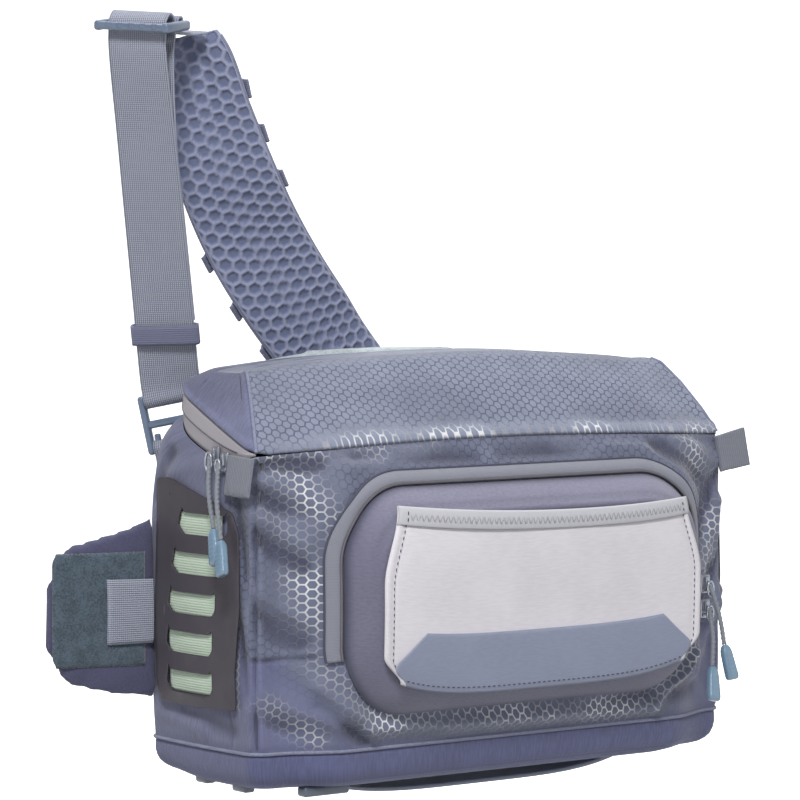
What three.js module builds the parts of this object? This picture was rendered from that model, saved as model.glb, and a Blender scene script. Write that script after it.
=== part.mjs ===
import * as THREE from 'three';

// Millimetres. X runs to the viewer's right, the pocket faces -Y, Z is up.
// The parts are laid out from the base plane and moved to the hang point at the end.

const BODY = { halfWidth: 189, height: 206, depth: 116, cornerY: 8, seam: 24 };
const WALL = 2.4;
const SEAT = 0.3;
// Extra room over a bulge, because the walls are flat between their points.
const FACET = 0.6;
const CORNER = { front: 12, back: 13 };
const RING = { front: 22, corner: 3, side: 6, back: 8 };

const LID = { rise: 50, crestFront: 0.46, crestBack: 0.84, endInset: 22, endDrop: 9, crown: 6 };
const BASE = { wall: 3, edgeInset: 16 };

const POCKET = { halfWidth: 140, top: 184, bottom: 44, depth: 17, wall: 3.2, corner: 46, edge: 20 };
const ZIP = { width: 7, thick: 1.6, wrap: 36, lift: 1.2 };
const SLIP = { halfWidth: 126, top: 172, bottom: 56, thick: 1.4, mouthGap: 6.5, band: 12, sag: 5 };
const PATCH = { top: 95, thick: 1.2, cut: 32 };

const PANEL = { thick: 1.2, slots: 5, pitch: 24.4, firstSlot: 161, front: 18, back: 103 };
const SLOT = { tall: 13, wide: 50, high: 53, low: 67 };
const PANEL_EDGE = { top: 188, slope: 0.17, cut: 6, bottom: 50 };
const WEB = { wide: 40, thick: 1.8, side: 54 };

const BACK = { halfWidth: 130, thick: 11, bottom: 26, top: 266, gap: 0.6 };
const WING = { reach: 73, thick: 11, root: 118, tip: 84, bottom: 47, sweep: 20, seam: 0.09 };
const LOOP = { thick: 1.6, tall: 71, low: 70 };
const TAB = { wide: 25, thick: 2.6, drop: 24 };
const BELT = { tall: 40, thick: 2.2, low: 84 };

const STRAP = { wide: 62, thick: 10, apex: 260, apexX: -218, apexY: -43 };
const LADDER = { long: 50, deep: 36, thick: 5, bar: 5, rail: 5 };
const BUCKLE = { long: 48, tall: 38, thick: 6, rail: 5, bar: 5, twist: -46 };
const BUCKLE_AT = { out: 152, behind: 3, above: 14 };
const PULL = { cord: 2.6, run: 38, tipWide: 9, tipThick: 6, tipTall: 23 };
const SLIDER = { wide: 8, tall: 12, thick: 4.5 };
const BASE_STRAP = { wide: 44, thick: 2.4, half: 118, drop: 9 };

// Cross sections of the body: share of the height, then shares of the half width, of the front
// bulge, of the side bulge, of the depth and of the back corner's radius.
const BODY_SECTIONS = [
  { up: 0.00, wide: 0.992, bulge: 0.62, side: 0.35, deep: 1.01, turn: 0.90 },
  { up: 0.16, wide: 0.998, bulge: 0.88, side: 0.75, deep: 1.03, turn: 1.00 },
  { up: 0.40, wide: 1.000, bulge: 1.00, side: 1.00, deep: 1.03, turn: 1.00 },
  { up: 0.66, wide: 0.998, bulge: 0.98, side: 0.85, deep: 1.02, turn: 1.00 },
  { up: 0.84, wide: 0.998, bulge: 0.86, side: 0.45, deep: 0.97, turn: 1.20 },
  { up: 0.93, wide: 0.997, bulge: 0.58, side: 0.20, deep: 0.90, turn: 1.55 },
  { up: 1.00, wide: 0.992, bulge: 0.24, side: 0.00, deep: 0.82, turn: 2.00 },
];
const FRONT_BULGE = 27;
const SIDE_BULGE = 5;
const FRONT_RAMP = 46;

// Padded strap from its sewn end to its loop: across from the middle, behind the back panel's
// face, above the body's front edge, twist about the vertical, width share.
const STRAP_LINE = [
  { across: 16, behind: 5.6, above: -6, twist: 0, wide: 1.00 },
  { across: -8, behind: 5.6, above: 26, twist: 0, wide: 1.00 },
  { across: -39, behind: 5.6, above: 60, twist: -4, wide: 1.00 },
  { across: -72, behind: 0, above: 94, twist: -14, wide: 1.00 },
  { across: -101, behind: -5, above: 130, twist: -24, wide: 1.00 },
  { across: -126, behind: -12, above: 168, twist: -34, wide: 0.98 },
  { across: -143, behind: -15, above: 206, twist: -42, wide: 0.90 },
  { across: -154, behind: -18, above: 240, twist: -50, wide: 0.78 },
  { across: -160, behind: -19, above: 255, twist: -54, wide: 0.66 },
];
const BANDS = { count: 7, first: 0.215, last: 0.84, tall: 12, thick: 2, past: 6 };

const mix = (a, b, t) => a + (b - a) * t;
const clamp = (v, lo, hi) => Math.min(hi, Math.max(lo, v));
const smooth = (t) => { const c = clamp(t, 0, 1); return c * c * (3 - 2 * c); };
const vec = (x, y, z) => new THREE.Vector3(x, y, z);

function sample(table, key, share) {
  // A monotone cubic through one column of a table, read at a share of its first column.
  const last = table.length - 1;
  const at = clamp(share, table[0].up, table[last].up);
  let i = 0;
  while (i < last - 1 && at > table[i + 1].up) i += 1;
  const slope = (k) => {
    const lo = Math.max(k - 1, 0);
    const hi = Math.min(k + 1, last);
    return (table[hi][key] - table[lo][key]) / (table[hi].up - table[lo].up);
  };
  const span = table[i + 1].up - table[i].up;
  const t = (at - table[i].up) / span;
  const h = { a: 2 * t ** 3 - 3 * t ** 2 + 1, b: t ** 3 - 2 * t ** 2 + t, c: t ** 3 - t ** 2 };
  const start = h.a * table[i][key] + h.b * span * slope(i);
  return start + (1 - h.a) * table[i + 1][key] + h.c * span * slope(i + 1);
}

// Rims: the height of the body's upper edge and of the lid's lower edge over a place in plan.
function crownAt(x, y) {
  const across = 1 - (x / BODY.halfWidth) ** 2;
  return LID.crown * Math.max(0, across) * (1 - smooth((y - BODY.cornerY) / BODY.depth));
}

function bodyRim(x, y) {
  const back = Math.max(0, y - BODY.cornerY - 22) / BODY.depth;
  const front = 1 - smooth((y - BODY.cornerY) / 22);
  return BODY.height - 6 + 4 * front + 72 * back ** 2 + crownAt(x, y);
}

function lidRim(x, y) {
  const along = Math.max(0, y - BODY.cornerY) / BODY.depth;
  return Math.max(BODY.height - 1.6 + 47 * along + 8 * along ** 2, 0) + crownAt(x, y);
}

// The body's cross section at a level from 0 at the lower seam to 1 at the rim.
function section(level) {
  const half = BODY.halfWidth * sample(BODY_SECTIONS, 'wide', level);
  const bulge = FRONT_BULGE * sample(BODY_SECTIONS, 'bulge', level);
  const side = SIDE_BULGE * sample(BODY_SECTIONS, 'side', level);
  const front = BODY.cornerY;
  const back = front + BODY.depth * sample(BODY_SECTIONS, 'deep', level);
  const turn = CORNER.back * sample(BODY_SECTIONS, 'turn', level);
  return { half, bulge, side, front, back, turn };
}

function frontCurve(s, x, inset = 0) {
  const edge = s.half - CORNER.front;
  const past = Math.abs(x) - edge;
  if (past > 0) {
    const r = CORNER.front - inset;
    const run = Math.min(past, r);
    return s.front + CORNER.front - Math.sqrt(Math.max(r * r - run * run, 0));
  }
  return s.front + inset - s.bulge * smooth(-past / FRONT_RAMP);
}

function sideCurve(s, y, inset = 0) {
  const from = s.front + CORNER.front;
  const to = s.back - s.turn;
  const middle = (from + to) / 2;
  const share = clamp((y - middle) / (to - middle), -1, 1);
  let x = s.half - inset + s.side * (1 - share * share);
  if (y > to) {
    const r = s.turn - inset;
    const run = Math.min(y - to, r);
    x = s.half - s.turn + Math.sqrt(Math.max(r * r - run * run, 0));
  }
  return x;
}

function sectionPoints(s, inset = 0) {
  const points = [];
  const edge = s.half - CORNER.front;
  const from = s.front + CORNER.front;
  const to = s.back - s.turn;
  const arc = (cx, cy, r, start, turn, count) => {
    for (let i = 0; i < count; i += 1) {
      const a = start + (turn * i) / count;
      points.push([cx + r * Math.cos(a), cy + r * Math.sin(a)]);
    }
  };
  for (let i = 0; i < RING.front; i += 1) {
    const x = frontStation(i, edge);
    points.push([x, frontCurve(s, x, inset)]);
  }
  arc(edge, from, CORNER.front - inset, -Math.PI / 2, Math.PI / 2, RING.corner);
  for (let i = 0; i < RING.side; i += 1) {
    const y = mix(from, to, i / RING.side);
    points.push([sideCurve(s, y, inset), y]);
  }
  arc(s.half - s.turn, to, s.turn - inset, 0, Math.PI / 2, RING.corner);
  for (let i = 0; i < RING.back; i += 1) {
    const x = mix(s.half - s.turn, s.turn - s.half, i / RING.back);
    points.push([x, s.back - inset]);
  }
  arc(s.turn - s.half, to, s.turn - inset, Math.PI / 2, Math.PI / 2, RING.corner);
  for (let i = 0; i < RING.side; i += 1) {
    const y = mix(to, from, i / RING.side);
    points.push([-sideCurve(s, y, inset), y]);
  }
  arc(-edge, from, CORNER.front - inset, Math.PI, Math.PI / 2, RING.corner);
  return points;
}

function frontStation(i, edge) {
  // Closer stations over the two ramps at the ends of the front.
  const ramp = 7;
  const middle = RING.front - 2 * ramp;
  const inner = edge - FRONT_RAMP;
  if (i < ramp) return mix(-edge, -inner, i / ramp);
  if (i > RING.front - ramp) return mix(inner, edge, (i - RING.front + ramp) / ramp);
  return mix(-inner, inner, (i - ramp) / middle);
}

const FLOOR = BODY.seam;
const levelZ = (level, x, y) => mix(FLOOR, bodyRim(x, y), level);

function levelAt(x, y, z) {
  return clamp((z - FLOOR) / (bodyRim(x, y) - FLOOR), 0, 1);
}

function frontY(x, z) {
  let y = BODY.cornerY;
  for (let i = 0; i < 3; i += 1) y = frontCurve(section(levelAt(x, y, z)), x);
  return y;
}

function sideX(y, z) {
  return sideCurve(section(levelAt(BODY.halfWidth, y, z)), y);
}

// Geometry builders.
function meshOf(points, faces) {
  const geometry = new THREE.BufferGeometry();
  const flat = points.flatMap((p) => [p.x, p.y, p.z]);
  geometry.setAttribute('position', new THREE.Float32BufferAttribute(flat, 3));
  geometry.setIndex(faces.flat());
  return geometry;
}

function volumeOf(points, faces) {
  return faces.reduce((sum, [a, b, c]) => sum + points[a].dot(points[b].clone().cross(points[c])), 0);
}

function outward(points, faces) {
  const turned = volumeOf(points, faces) < 0 ? faces.map(([a, b, c]) => [a, c, b]) : faces;
  return meshOf(points, turned);
}

// Rings of equal count stitched in order. The ends are closed with a fan, or joined to each
// other where the body is a tube with a hole through it.
function loft(rings, joined = false) {
  const count = rings[0].length;
  const points = rings.flat();
  const faces = [];
  const pairs = joined ? rings.length : rings.length - 1;
  for (let r = 0; r < pairs; r += 1) {
    const next = (r + 1) % rings.length;
    for (let i = 0; i < count; i += 1) {
      const j = (i + 1) % count;
      const [a, b, c, d] = [r * count + i, r * count + j, next * count + j, next * count + i];
      faces.push([a, b, c], [a, c, d]);
    }
  }
  if (!joined) {
    for (const [ring, turn] of [[0, true], [rings.length - 1, false]]) {
      const middle = rings[ring].reduce((sum, p) => sum.add(p), vec(0, 0, 0)).divideScalar(count);
      const hub = points.push(middle) - 1;
      for (let i = 0; i < count; i += 1) {
        const [a, b] = [ring * count + i, ring * count + ((i + 1) % count)];
        faces.push(turn ? [b, a, hub] : [a, b, hub]);
      }
    }
  }
  return outward(points, faces);
}

// A plate between two grids of equal size, closed round its border.
function plate(outer, inner) {
  const [rows, cols] = [outer.length, outer[0].length];
  const points = [...outer.flat(), ...inner.flat()];
  const back = rows * cols;
  const at = (r, c) => r * cols + c;
  const faces = [];
  const quad = (a, b, c, d) => faces.push([a, b, c], [a, c, d]);
  for (let r = 0; r < rows - 1; r += 1) {
    for (let c = 0; c < cols - 1; c += 1) {
      const q = [at(r, c), at(r, c + 1), at(r + 1, c + 1), at(r + 1, c)];
      quad(...q);
      quad(...q.map((i) => i + back).reverse());
    }
  }
  const rim = [];
  for (let c = 0; c < cols - 1; c += 1) rim.push(at(0, c));
  for (let r = 0; r < rows - 1; r += 1) rim.push(at(r, cols - 1));
  for (let c = cols - 1; c > 0; c -= 1) rim.push(at(rows - 1, c));
  for (let r = rows - 1; r > 0; r -= 1) rim.push(at(r, 0));
  rim.forEach((a, i) => {
    const b = rim[(i + 1) % rim.length];
    quad(b, a, a + back, b + back);
  });
  return outward(points, faces);
}

// A plate laid over a surface: place(u, v, lift) gives a point at a height off that surface.
function drape(cols, rows, place, lift, thick) {
  const grid = (height) => {
    const out = [];
    for (let r = 0; r <= rows; r += 1) {
      const row = [];
      for (let c = 0; c <= cols; c += 1) row.push(place(c / cols, r / rows, height));
      out.push(row);
    }
    return out;
  };
  return plate(grid(lift + thick), grid(lift));
}

// A strip of webbing or padding along stations with a width direction and a face normal.
function strip(stations, round = false) {
  const outline = round
    ? [[-0.5, 0], [-0.46, 0.36], [-0.25, 0.5], [0.25, 0.5], [0.46, 0.36],
      [0.5, 0], [0.46, -0.36], [0.25, -0.5], [-0.25, -0.5], [-0.46, -0.36]]
    : [[-0.5, -0.5], [0.5, -0.5], [0.5, 0.5], [-0.5, 0.5]];
  const rings = stations.map(({ at, across, normal, wide, thick }) => outline.map(([u, v]) => (
    at.clone().addScaledVector(across, u * wide).addScaledVector(normal, v * thick)
  )));
  return loft(rings);
}

function along(points, widthOf, normalOf, thick, round) {
  // Stations from a centre line, with the width direction made square to the line.
  const stations = points.map((at, i) => {
    const before = points[Math.max(i - 1, 0)];
    const after = points[Math.min(i + 1, points.length - 1)];
    const run = after.clone().sub(before).normalize();
    const { across, wide } = widthOf(i);
    const square = across.clone().addScaledVector(run, -across.dot(run)).normalize();
    const normal = run.clone().cross(square).normalize();
    return { at, across: square, normal, wide, thick: thick * normalOf(i) };
  });
  return strip(stations, round);
}

function frame(origin, right, up, depth) {
  return new THREE.Matrix4().makeBasis(right, up, depth).setPosition(origin);
}

// A rounded plate with rectangular windows, laid flat and then placed by a matrix.
function windowed(long, tall, thick, radius, windows, matrix) {
  const shape = roundedShape(-long / 2, -tall / 2, long, tall, radius);
  for (const [x, y, w, h] of windows) shape.holes.push(roundedPath(x, y, w, h, 1));
  const geometry = new THREE.ExtrudeGeometry(shape, { depth: thick, bevelEnabled: false, curveSegments: 2 });
  geometry.translate(0, 0, -thick / 2);
  geometry.applyMatrix4(matrix);
  return geometry;
}

function traceRounded(path, x, y, w, h, r) {
  path.moveTo(x + r, y);
  path.lineTo(x + w - r, y);
  path.absarc(x + w - r, y + r, r, -Math.PI / 2, 0, false);
  path.lineTo(x + w, y + h - r);
  path.absarc(x + w - r, y + h - r, r, 0, Math.PI / 2, false);
  path.lineTo(x + r, y + h);
  path.absarc(x + r, y + h - r, r, Math.PI / 2, Math.PI, false);
  path.lineTo(x, y + r);
  path.absarc(x + r, y + r, r, Math.PI, 1.5 * Math.PI, false);
  return path;
}

const roundedShape = (...a) => traceRounded(new THREE.Shape(), ...a);
const roundedPath = (...a) => traceRounded(new THREE.Path(), ...a);

const group = new THREE.Group();
const HANG = hangPoint();

function add(name, geometry, colour) {
  const material = new THREE.MeshStandardMaterial({ color: colour, roughness: 0.8 });
  material.name = name;
  geometry.translate(-HANG.x, -HANG.y, -HANG.z);
  const mesh = new THREE.Mesh(geometry, material);
  mesh.name = name;
  group.add(mesh);
}

function strapFrame(angle) {
  // Width direction and the direction from the webbing run towards the padded run.
  const a = THREE.MathUtils.degToRad(angle);
  return { across: vec(Math.cos(a), Math.sin(a), 0), through: vec(-Math.sin(a), Math.cos(a), 0) };
}

function hangPoint() {
  const { through } = strapFrame(-57);
  const top = apexPoint();
  return top.addScaledVector(through, LADDER.deep / 2).add(vec(0, 0, -LADDER.thick / 2));
}

// The body: an open tube of walls from the lower seam to the zip line.
function bodyShell() {
  const levels = [0, 0.1, 0.24, 0.4, 0.56, 0.7, 0.82, 0.89, 0.95, 1];
  const ring = (level, inset) => sectionPoints(section(level), inset)
    .map(([x, y]) => vec(x, y, levelZ(level, x, y)));
  const outer = levels.map((level) => ring(level, 0));
  const inner = levels.map((level) => ring(level, WALL)).reverse();
  return loft([...outer, ...inner], true);
}

// The base: a moulded tray under the walls, with its edge turned under.
function baseBoot() {
  const foot = section(0);
  const top = FLOOR - SEAT;
  const steps = [
    { up: 0, inset: BASE.edgeInset }, { up: 0.06, inset: 0.42 * BASE.edgeInset },
    { up: 0.3, inset: 0.14 * BASE.edgeInset }, { up: 0.62, inset: 0 }, { up: 1, inset: 0 },
  ];
  const ring = (up, inset) => sectionPoints(shrunk(foot, inset), 0)
    .map(([x, y]) => vec(x, y, up));
  const outer = steps.map(({ up, inset }) => ring(up * top, inset));
  const inner = [
    ring(top, BASE.wall), ring(0.62 * top, BASE.wall),
    ring(0.3 * top, 0.14 * BASE.edgeInset + BASE.wall), ring(BASE.wall, BASE.edgeInset + BASE.wall),
  ];
  return loft([...outer, ...inner]);
}

function shrunk(s, inset) {
  return { ...s, half: s.half - inset, front: s.front + inset, back: s.back - inset };
}

// The lid: a dome from its rim to a flat crest, open below.
function lidShell() {
  const rim = section(1);
  const steps = [
    { in: 0, up: 0, puff: 0 }, { in: 0.24, up: 0.28, puff: 0.8 }, { in: 0.55, up: 0.62, puff: 1 },
    { in: 0.85, up: 0.92, puff: 0.5 }, { in: 1, up: 1, puff: 0 },
  ];
  const ring = (step, inset) => sectionPoints(rim, inset).map(([x, y]) => {
    const share = clamp((y - rim.front) / (rim.back - rim.front), 0, 1);
    const crest = lidCrest(x, share, rim, inset);
    const start = vec(x, y, lidRim(x, y));
    const place = start.clone().lerp(crest, step.in);
    place.z = mix(start.z, crest.z, step.up) + 2.5 * step.puff;
    return place;
  });
  const outer = steps.map((step) => ring(step, 0)).reverse();
  const inner = steps.map((step) => ring(step, WALL));
  return loft([...outer, ...inner]);
}

function lidCrest(x, share, rim, inset) {
  const half = rim.half - LID.endInset - inset;
  const cx = x * (half / (rim.half - inset));
  const cy = mix(rim.front, rim.back, mix(LID.crestFront, LID.crestBack, share));
  const drop = LID.endDrop * (cx / half) ** 2;
  return vec(cx, cy, BODY.height + LID.rise + LID.crown - drop - inset);
}

// The lid's zip tape: a band between the two rims, round both ends and the back.
function lidZip() {
  const rim = section(1);
  const ring = sectionPoints(rim, 0);
  const inside = sectionPoints(rim, ZIP.thick);
  const first = RING.front + 2;
  const count = ring.length - RING.front - 4;
  const row = (source, place) => Array.from({ length: count + 1 }, (_, i) => {
    const [x, y] = source[(first + i) % ring.length];
    return vec(x, y, place(x, y));
  });
  const low = (x, y) => bodyRim(x, y) + SEAT;
  const high = (x, y) => Math.max(lidRim(x, y) - SEAT, low(x, y) + 0.9);
  return plate([row(ring, high), row(ring, low)], [row(inside, high), row(inside, low)]);
}

// Outline of the front pocket at a share of the way round it, from the lower left upwards.
function pocketOutline(inset, count) {
  const half = POCKET.halfWidth - inset;
  const [low, high] = [POCKET.bottom + inset, POCKET.top - inset];
  const r = Math.max(POCKET.corner - 0.5 * inset, 6);
  const path = roundedShape(-half, low, 2 * half, high - low, r);
  return path.getSpacedPoints(count).slice(0, count);
}

function pocketShell() {
  const count = 44;
  const lift = (inset) => {
    const share = clamp(inset / POCKET.edge, 0, 1);
    return POCKET.depth * Math.sin((share * Math.PI) / 2) ** 0.8;
  };
  const ring = (inset, raise) => pocketOutline(inset, count)
    .map((p) => vec(p.x, pocketBase(p.x, p.y) - raise, p.y));
  const insets = [0, 1.2, 4, 9, 15, POCKET.edge, 40];
  const outer = insets.map((i) => ring(i, SEAT + FACET + lift(i) + (i > 21 ? 1.5 : 0)));
  const inner = insets.slice(1).map((i) => {
    const raise = Math.max(SEAT + FACET, SEAT + FACET + lift(i) - POCKET.wall + (i > 21 ? 1.5 : 0));
    return ring(i + POCKET.wall, raise);
  });
  const lip = ring(POCKET.wall, SEAT + FACET);
  return loft([...outer.reverse(), lip, ...inner]);
}

// The front surface that the pocket is sewn to, kept clear of the shallow top edge.
function pocketBase(x, z) {
  return Math.min(frontY(x, z), frontY(0.8 * x, z) + 3);
}

function pocketFaceY(x, z) {
  return pocketBase(x, z) - SEAT - FACET - POCKET.depth - 1.6;
}

function pocketZip() {
  // A tape round the top and sides of the pocket, from the lower left to the lower right.
  const half = POCKET.halfWidth + 1.5;
  const start = POCKET.bottom + ZIP.wrap;
  const high = POCKET.top + 1.5;
  const r = POCKET.corner + 1.5;
  const line = new THREE.Path();
  line.moveTo(-half, start);
  line.lineTo(-half, high - r);
  line.absarc(-half + r, high - r, r, Math.PI, Math.PI / 2, true);
  line.lineTo(half - r, high);
  line.absarc(half - r, high - r, r, Math.PI / 2, 0, true);
  line.lineTo(half, start);
  const count = 36;
  const middle = line.getSpacedPoints(count);
  const place = (u, v, lift) => {
    const i = Math.round(u * count);
    const before = middle[Math.max(i - 1, 0)];
    const after = middle[Math.min(i + 1, count)];
    const run = after.clone().sub(before).normalize();
    const out = { x: -run.y, y: run.x };
    const width = ZIP.width * v + 0.6;
    const [x, z] = [middle[i].x + out.x * width, middle[i].y + out.y * width];
    return vec(x, frontY(x, z) - lift, z);
  };
  return drape(count, 2, place, ZIP.lift, ZIP.thick);
}

// The slip pocket: a panel over the pocket's face that stands off at its mouth.
const slipPlace = (u, v, lift) => {
  const taper = 1 - 0.09 * smooth((v - 0.55) / 0.45) - 0.1 * smooth((0.16 - v) / 0.16);
  const x = mix(-1, 1, u) * SLIP.halfWidth * taper;
  const sag = SLIP.sag * (1 - (2 * u - 1) ** 2);
  const z = mix(SLIP.bottom + 10 * (2 * u - 1) ** 4, SLIP.top - sag, v) - 0.02 * x * v;
  const open = SLIP.mouthGap * smooth((v - 0.3) / 0.7) * (1 - (2 * u - 1) ** 4);
  return vec(x, slipBase(x, z) - open - lift, z);
};

function slipBase(x, z) {
  return pocketFaceY(x, z) - SEAT;
}

function slipPatch() {
  const place = (u, v, lift) => {
    const rise = (PATCH.top - SLIP.bottom) / (SLIP.top - SLIP.bottom);
    const share = mix(-1, 1, u) * mix(0.97, 1 - PATCH.cut / SLIP.halfWidth, smooth((v - 0.12) / 0.88));
    return slipPlace(0.5 + share / 2, mix(0.02, rise, v), lift + SLIP.thick + SEAT);
  };
  return drape(12, 2, place, 0.1, PATCH.thick);
}

function slipBand() {
  const start = 1 - SLIP.band / (SLIP.top - SLIP.bottom);
  const place = (u, v, lift) => slipPlace(u, mix(start, 1, v), lift + SLIP.thick + SEAT);
  return drape(16, 1, place, 0.1, PATCH.thick);
}

// The side panel: a stiff plate with slots, bent to the side of the body.
function panelTop(y) {
  return PANEL_EDGE.top - PANEL_EDGE.slope * (PANEL.back - y) - PANEL_EDGE.cut * smooth((34 - y) / 16);
}

function slotCentre(i) {
  const shift = 1 - (1 - i / (PANEL.slots - 1)) ** 2;
  return { y: mix(SLOT.high, SLOT.low, shift), z: PANEL.firstSlot - i * PANEL.pitch };
}

function sidePanel(side) {
  const rows = [{ z: PANEL_EDGE.bottom, slot: PANEL.slots - 1 }];
  for (let i = PANEL.slots - 1; i >= 0; i -= 1) {
    const { z } = slotCentre(i);
    rows.push({ z: z - SLOT.tall / 2, slot: i }, { z: z + SLOT.tall / 2, slot: i });
  }
  rows.push({ z: PANEL_EDGE.top, slot: 0 });
  const half = SLOT.wide / 2;
  const columns = (slot) => {
    const { y } = slotCentre(slot);
    return [PANEL.front, y - half, y - half / 3, y + half / 3, y + half, PANEL.back];
  };
  const place = (c, r, lift) => {
    const y = columns(rows[r].slot)[c];
    const z = Math.min(rows[r].z, panelTop(y) - 3 * (rows.length - 1 - r));
    return vec(side * (panelX(y, z) + WEB.thick + 0.6 + lift), y, z);
  };
  const solid = (c, r) => r % 2 === 0 || c === 0 || c === 4;
  return lattice(6, rows.length, place, solid, PANEL.thick);
}

// A plate of cells, some of them left open, with walls round every opening.
function lattice(cols, rows, place, solid, thick) {
  const points = [];
  const at = (c, r, level) => (r * cols + c) * 2 + level;
  for (let r = 0; r < rows; r += 1) {
    for (let c = 0; c < cols; c += 1) points.push(place(c, r, thick), place(c, r, 0));
  }
  const faces = [];
  const quad = (a, b, c, d) => faces.push([a, b, c], [a, c, d]);
  const inside = (c, r) => c >= 0 && r >= 0 && c < cols - 1 && r < rows - 1 && solid(c, r);
  for (let r = 0; r < rows - 1; r += 1) {
    for (let c = 0; c < cols - 1; c += 1) {
      if (!inside(c, r)) continue;
      const ring = [[c, r], [c + 1, r], [c + 1, r + 1], [c, r + 1]];
      quad(...ring.map(([x, y]) => at(x, y, 0)));
      quad(...ring.map(([x, y]) => at(x, y, 1)).reverse());
      const beyond = [[c, r - 1], [c + 1, r], [c, r + 1], [c - 1, r]];
      beyond.forEach((cell, k) => {
        if (inside(...cell)) return;
        const [from, to] = [ring[k], ring[(k + 1) % 4]];
        quad(at(...to, 0), at(...from, 0), at(...from, 1), at(...to, 1));
      });
    }
  }
  return outward(points, faces);
}

// The side that the panel is laid on, a little proud of the bulge so that flat facets clear it.
function panelX(y, z) {
  return sideX(clamp(y, 24, 92), z) + 0.5;
}

function sideWebbing(side) {
  const { y } = slotCentre(2);
  const place = (u, v, lift) => {
    const [py, pz] = [y + (u - 0.5) * WEB.side, mix(54, 168, v)];
    return vec(side * (panelX(py, pz) + lift), py, pz);
  };
  return drape(3, 8, place, 0.2, WEB.thick - 0.4);
}

// The back: a padded panel that stands a little above the lid.
function backPad() {
  const foot = section(0.4);
  const y = foot.back + BACK.gap;
  const top = (x) => BACK.top - 20 * Math.abs(x / BACK.halfWidth) ** 3;
  const grid = (outer) => {
    const rows = [];
    for (let r = 0; r <= 8; r += 1) {
      const row = [];
      for (let c = 0; c <= 14; c += 1) {
        const [u, v] = [c / 7 - 1, r / 8];
        const x = u * BACK.halfWidth;
        const edge = Math.min(1, 3.2 * (1 - Math.abs(u)) + 0.3, 4 * Math.min(v, 1 - v) + 0.3);
        row.push(vec(x, y + (outer ? BACK.thick * edge : 0), mix(BACK.bottom, top(x), v)));
      }
      rows.push(row);
    }
    return rows;
  };
  return plate(grid(true), grid(false));
}

function wingPlace(side, out, z, lift) {
  const root = section(0.4);
  const x = root.half - 6 + out * WING.reach;
  const y = root.back + BACK.gap - 14 + WING.sweep * out ** 1.3;
  return vec(side * (x + 0.25 * lift), y - lift, z);
}

function hipWing(side) {
  const stations = [0, 0.2, 0.4, 0.6, 0.78, 0.9, 0.97, 1];
  const rings = stations.map((out) => {
    const end = smooth((out - 0.84) / 0.16);
    const top = mix(WING.bottom + WING.root, WING.bottom + WING.tip + 14, out) - 18 * end;
    const low = WING.bottom + 14 * out ** 2 + 14 * end;
    const half = (WING.thick / 2) * (1 - 0.55 * end);
    const ring = [];
    for (const [v, w] of [[0, 0.4], [0.05, 1], [0.35, 1], [0.65, 1], [0.95, 1], [1, 0.4]]) {
      ring.push(wingPlace(side, mix(WING.seam, 1, out), mix(low, top, v), half * w));
    }
    for (const [v, w] of [[1, 0.4], [0.95, 1], [0.65, 1], [0.35, 1], [0.05, 1], [0, 0.4]]) {
      ring.push(wingPlace(side, mix(WING.seam, 1, out), mix(low, top, v), -half * w));
    }
    return ring;
  });
  return loft(rings);
}

function loopPatch(side) {
  const place = (u, v, lift) => {
    const z = LOOP.low + LOOP.tall * v;
    return wingPlace(side, mix(0.2, 0.98, u), z, lift);
  };
  return drape(8, 2, place, WING.thick / 2 + SEAT, LOOP.thick);
}

function beltTab(side) {
  const place = (u, v, lift) => {
    const out = mix(0.2, 0.54, u);
    return wingPlace(side, out, mix(BELT.low, BELT.low + BELT.tall, v), lift);
  };
  return drape(5, 2, place, WING.thick / 2 + LOOP.thick + 2 * SEAT, BELT.thick);
}

// Short folded tabs at the front's upper corners.
function pullTab(side) {
  if (side < 0) {
    const place = (u, v, lift) => {
      const [y, z] = [mix(6, 6 + TAB.wide, u), mix(204, 204 - TAB.drop, v)];
      return vec(-(BODY.halfWidth - SEAT + 3 * v + lift), y, z);
    };
    return drape(2, 3, place, 0, TAB.thick);
  }
  const place = (u, v, lift) => {
    const [x, z] = [BODY.halfWidth - 10 + TAB.wide * u, mix(206, 206 - TAB.drop, v)];
    return vec(x + 5 * v, BODY.cornerY - SEAT - lift, z + 2 * u - 0.8);
  };
  return drape(2, 3, place, 0, TAB.thick);
}

// Sling strap.
function backFace() {
  return section(0.4).back + BACK.gap + BACK.thick;
}

function strapStation({ across, behind, above }) {
  return vec(across, backFace() + behind, BODY.height + above);
}

function apexPoint() {
  return vec(STRAP.apexX, backFace() + STRAP.apexY, BODY.height + STRAP.apex);
}

function strapPoints(count = 22) {
  const curve = new THREE.CatmullRomCurve3(STRAP_LINE.map(strapStation), false, 'centripetal');
  return Array.from({ length: count + 1 }, (_, i) => {
    const t = i / count;
    const at = t * (STRAP_LINE.length - 1);
    const k = Math.min(Math.floor(at), STRAP_LINE.length - 2);
    const [a, b] = [STRAP_LINE[k], STRAP_LINE[k + 1]];
    return {
      at: curve.getPoint(t), twist: mix(a.twist, b.twist, at - k), wide: mix(a.wide, b.wide, at - k),
    };
  });
}

function strapPad() {
  const stations = strapPoints();
  const widthOf = (i) => ({ ...strapFrame(stations[i].twist), wide: STRAP.wide * stations[i].wide });
  const thin = (i) => (i === 0 || i === stations.length - 1 ? 0.45 : 1);
  return along(stations.map((s) => s.at), widthOf, thin, STRAP.thick, true);
}

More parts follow.
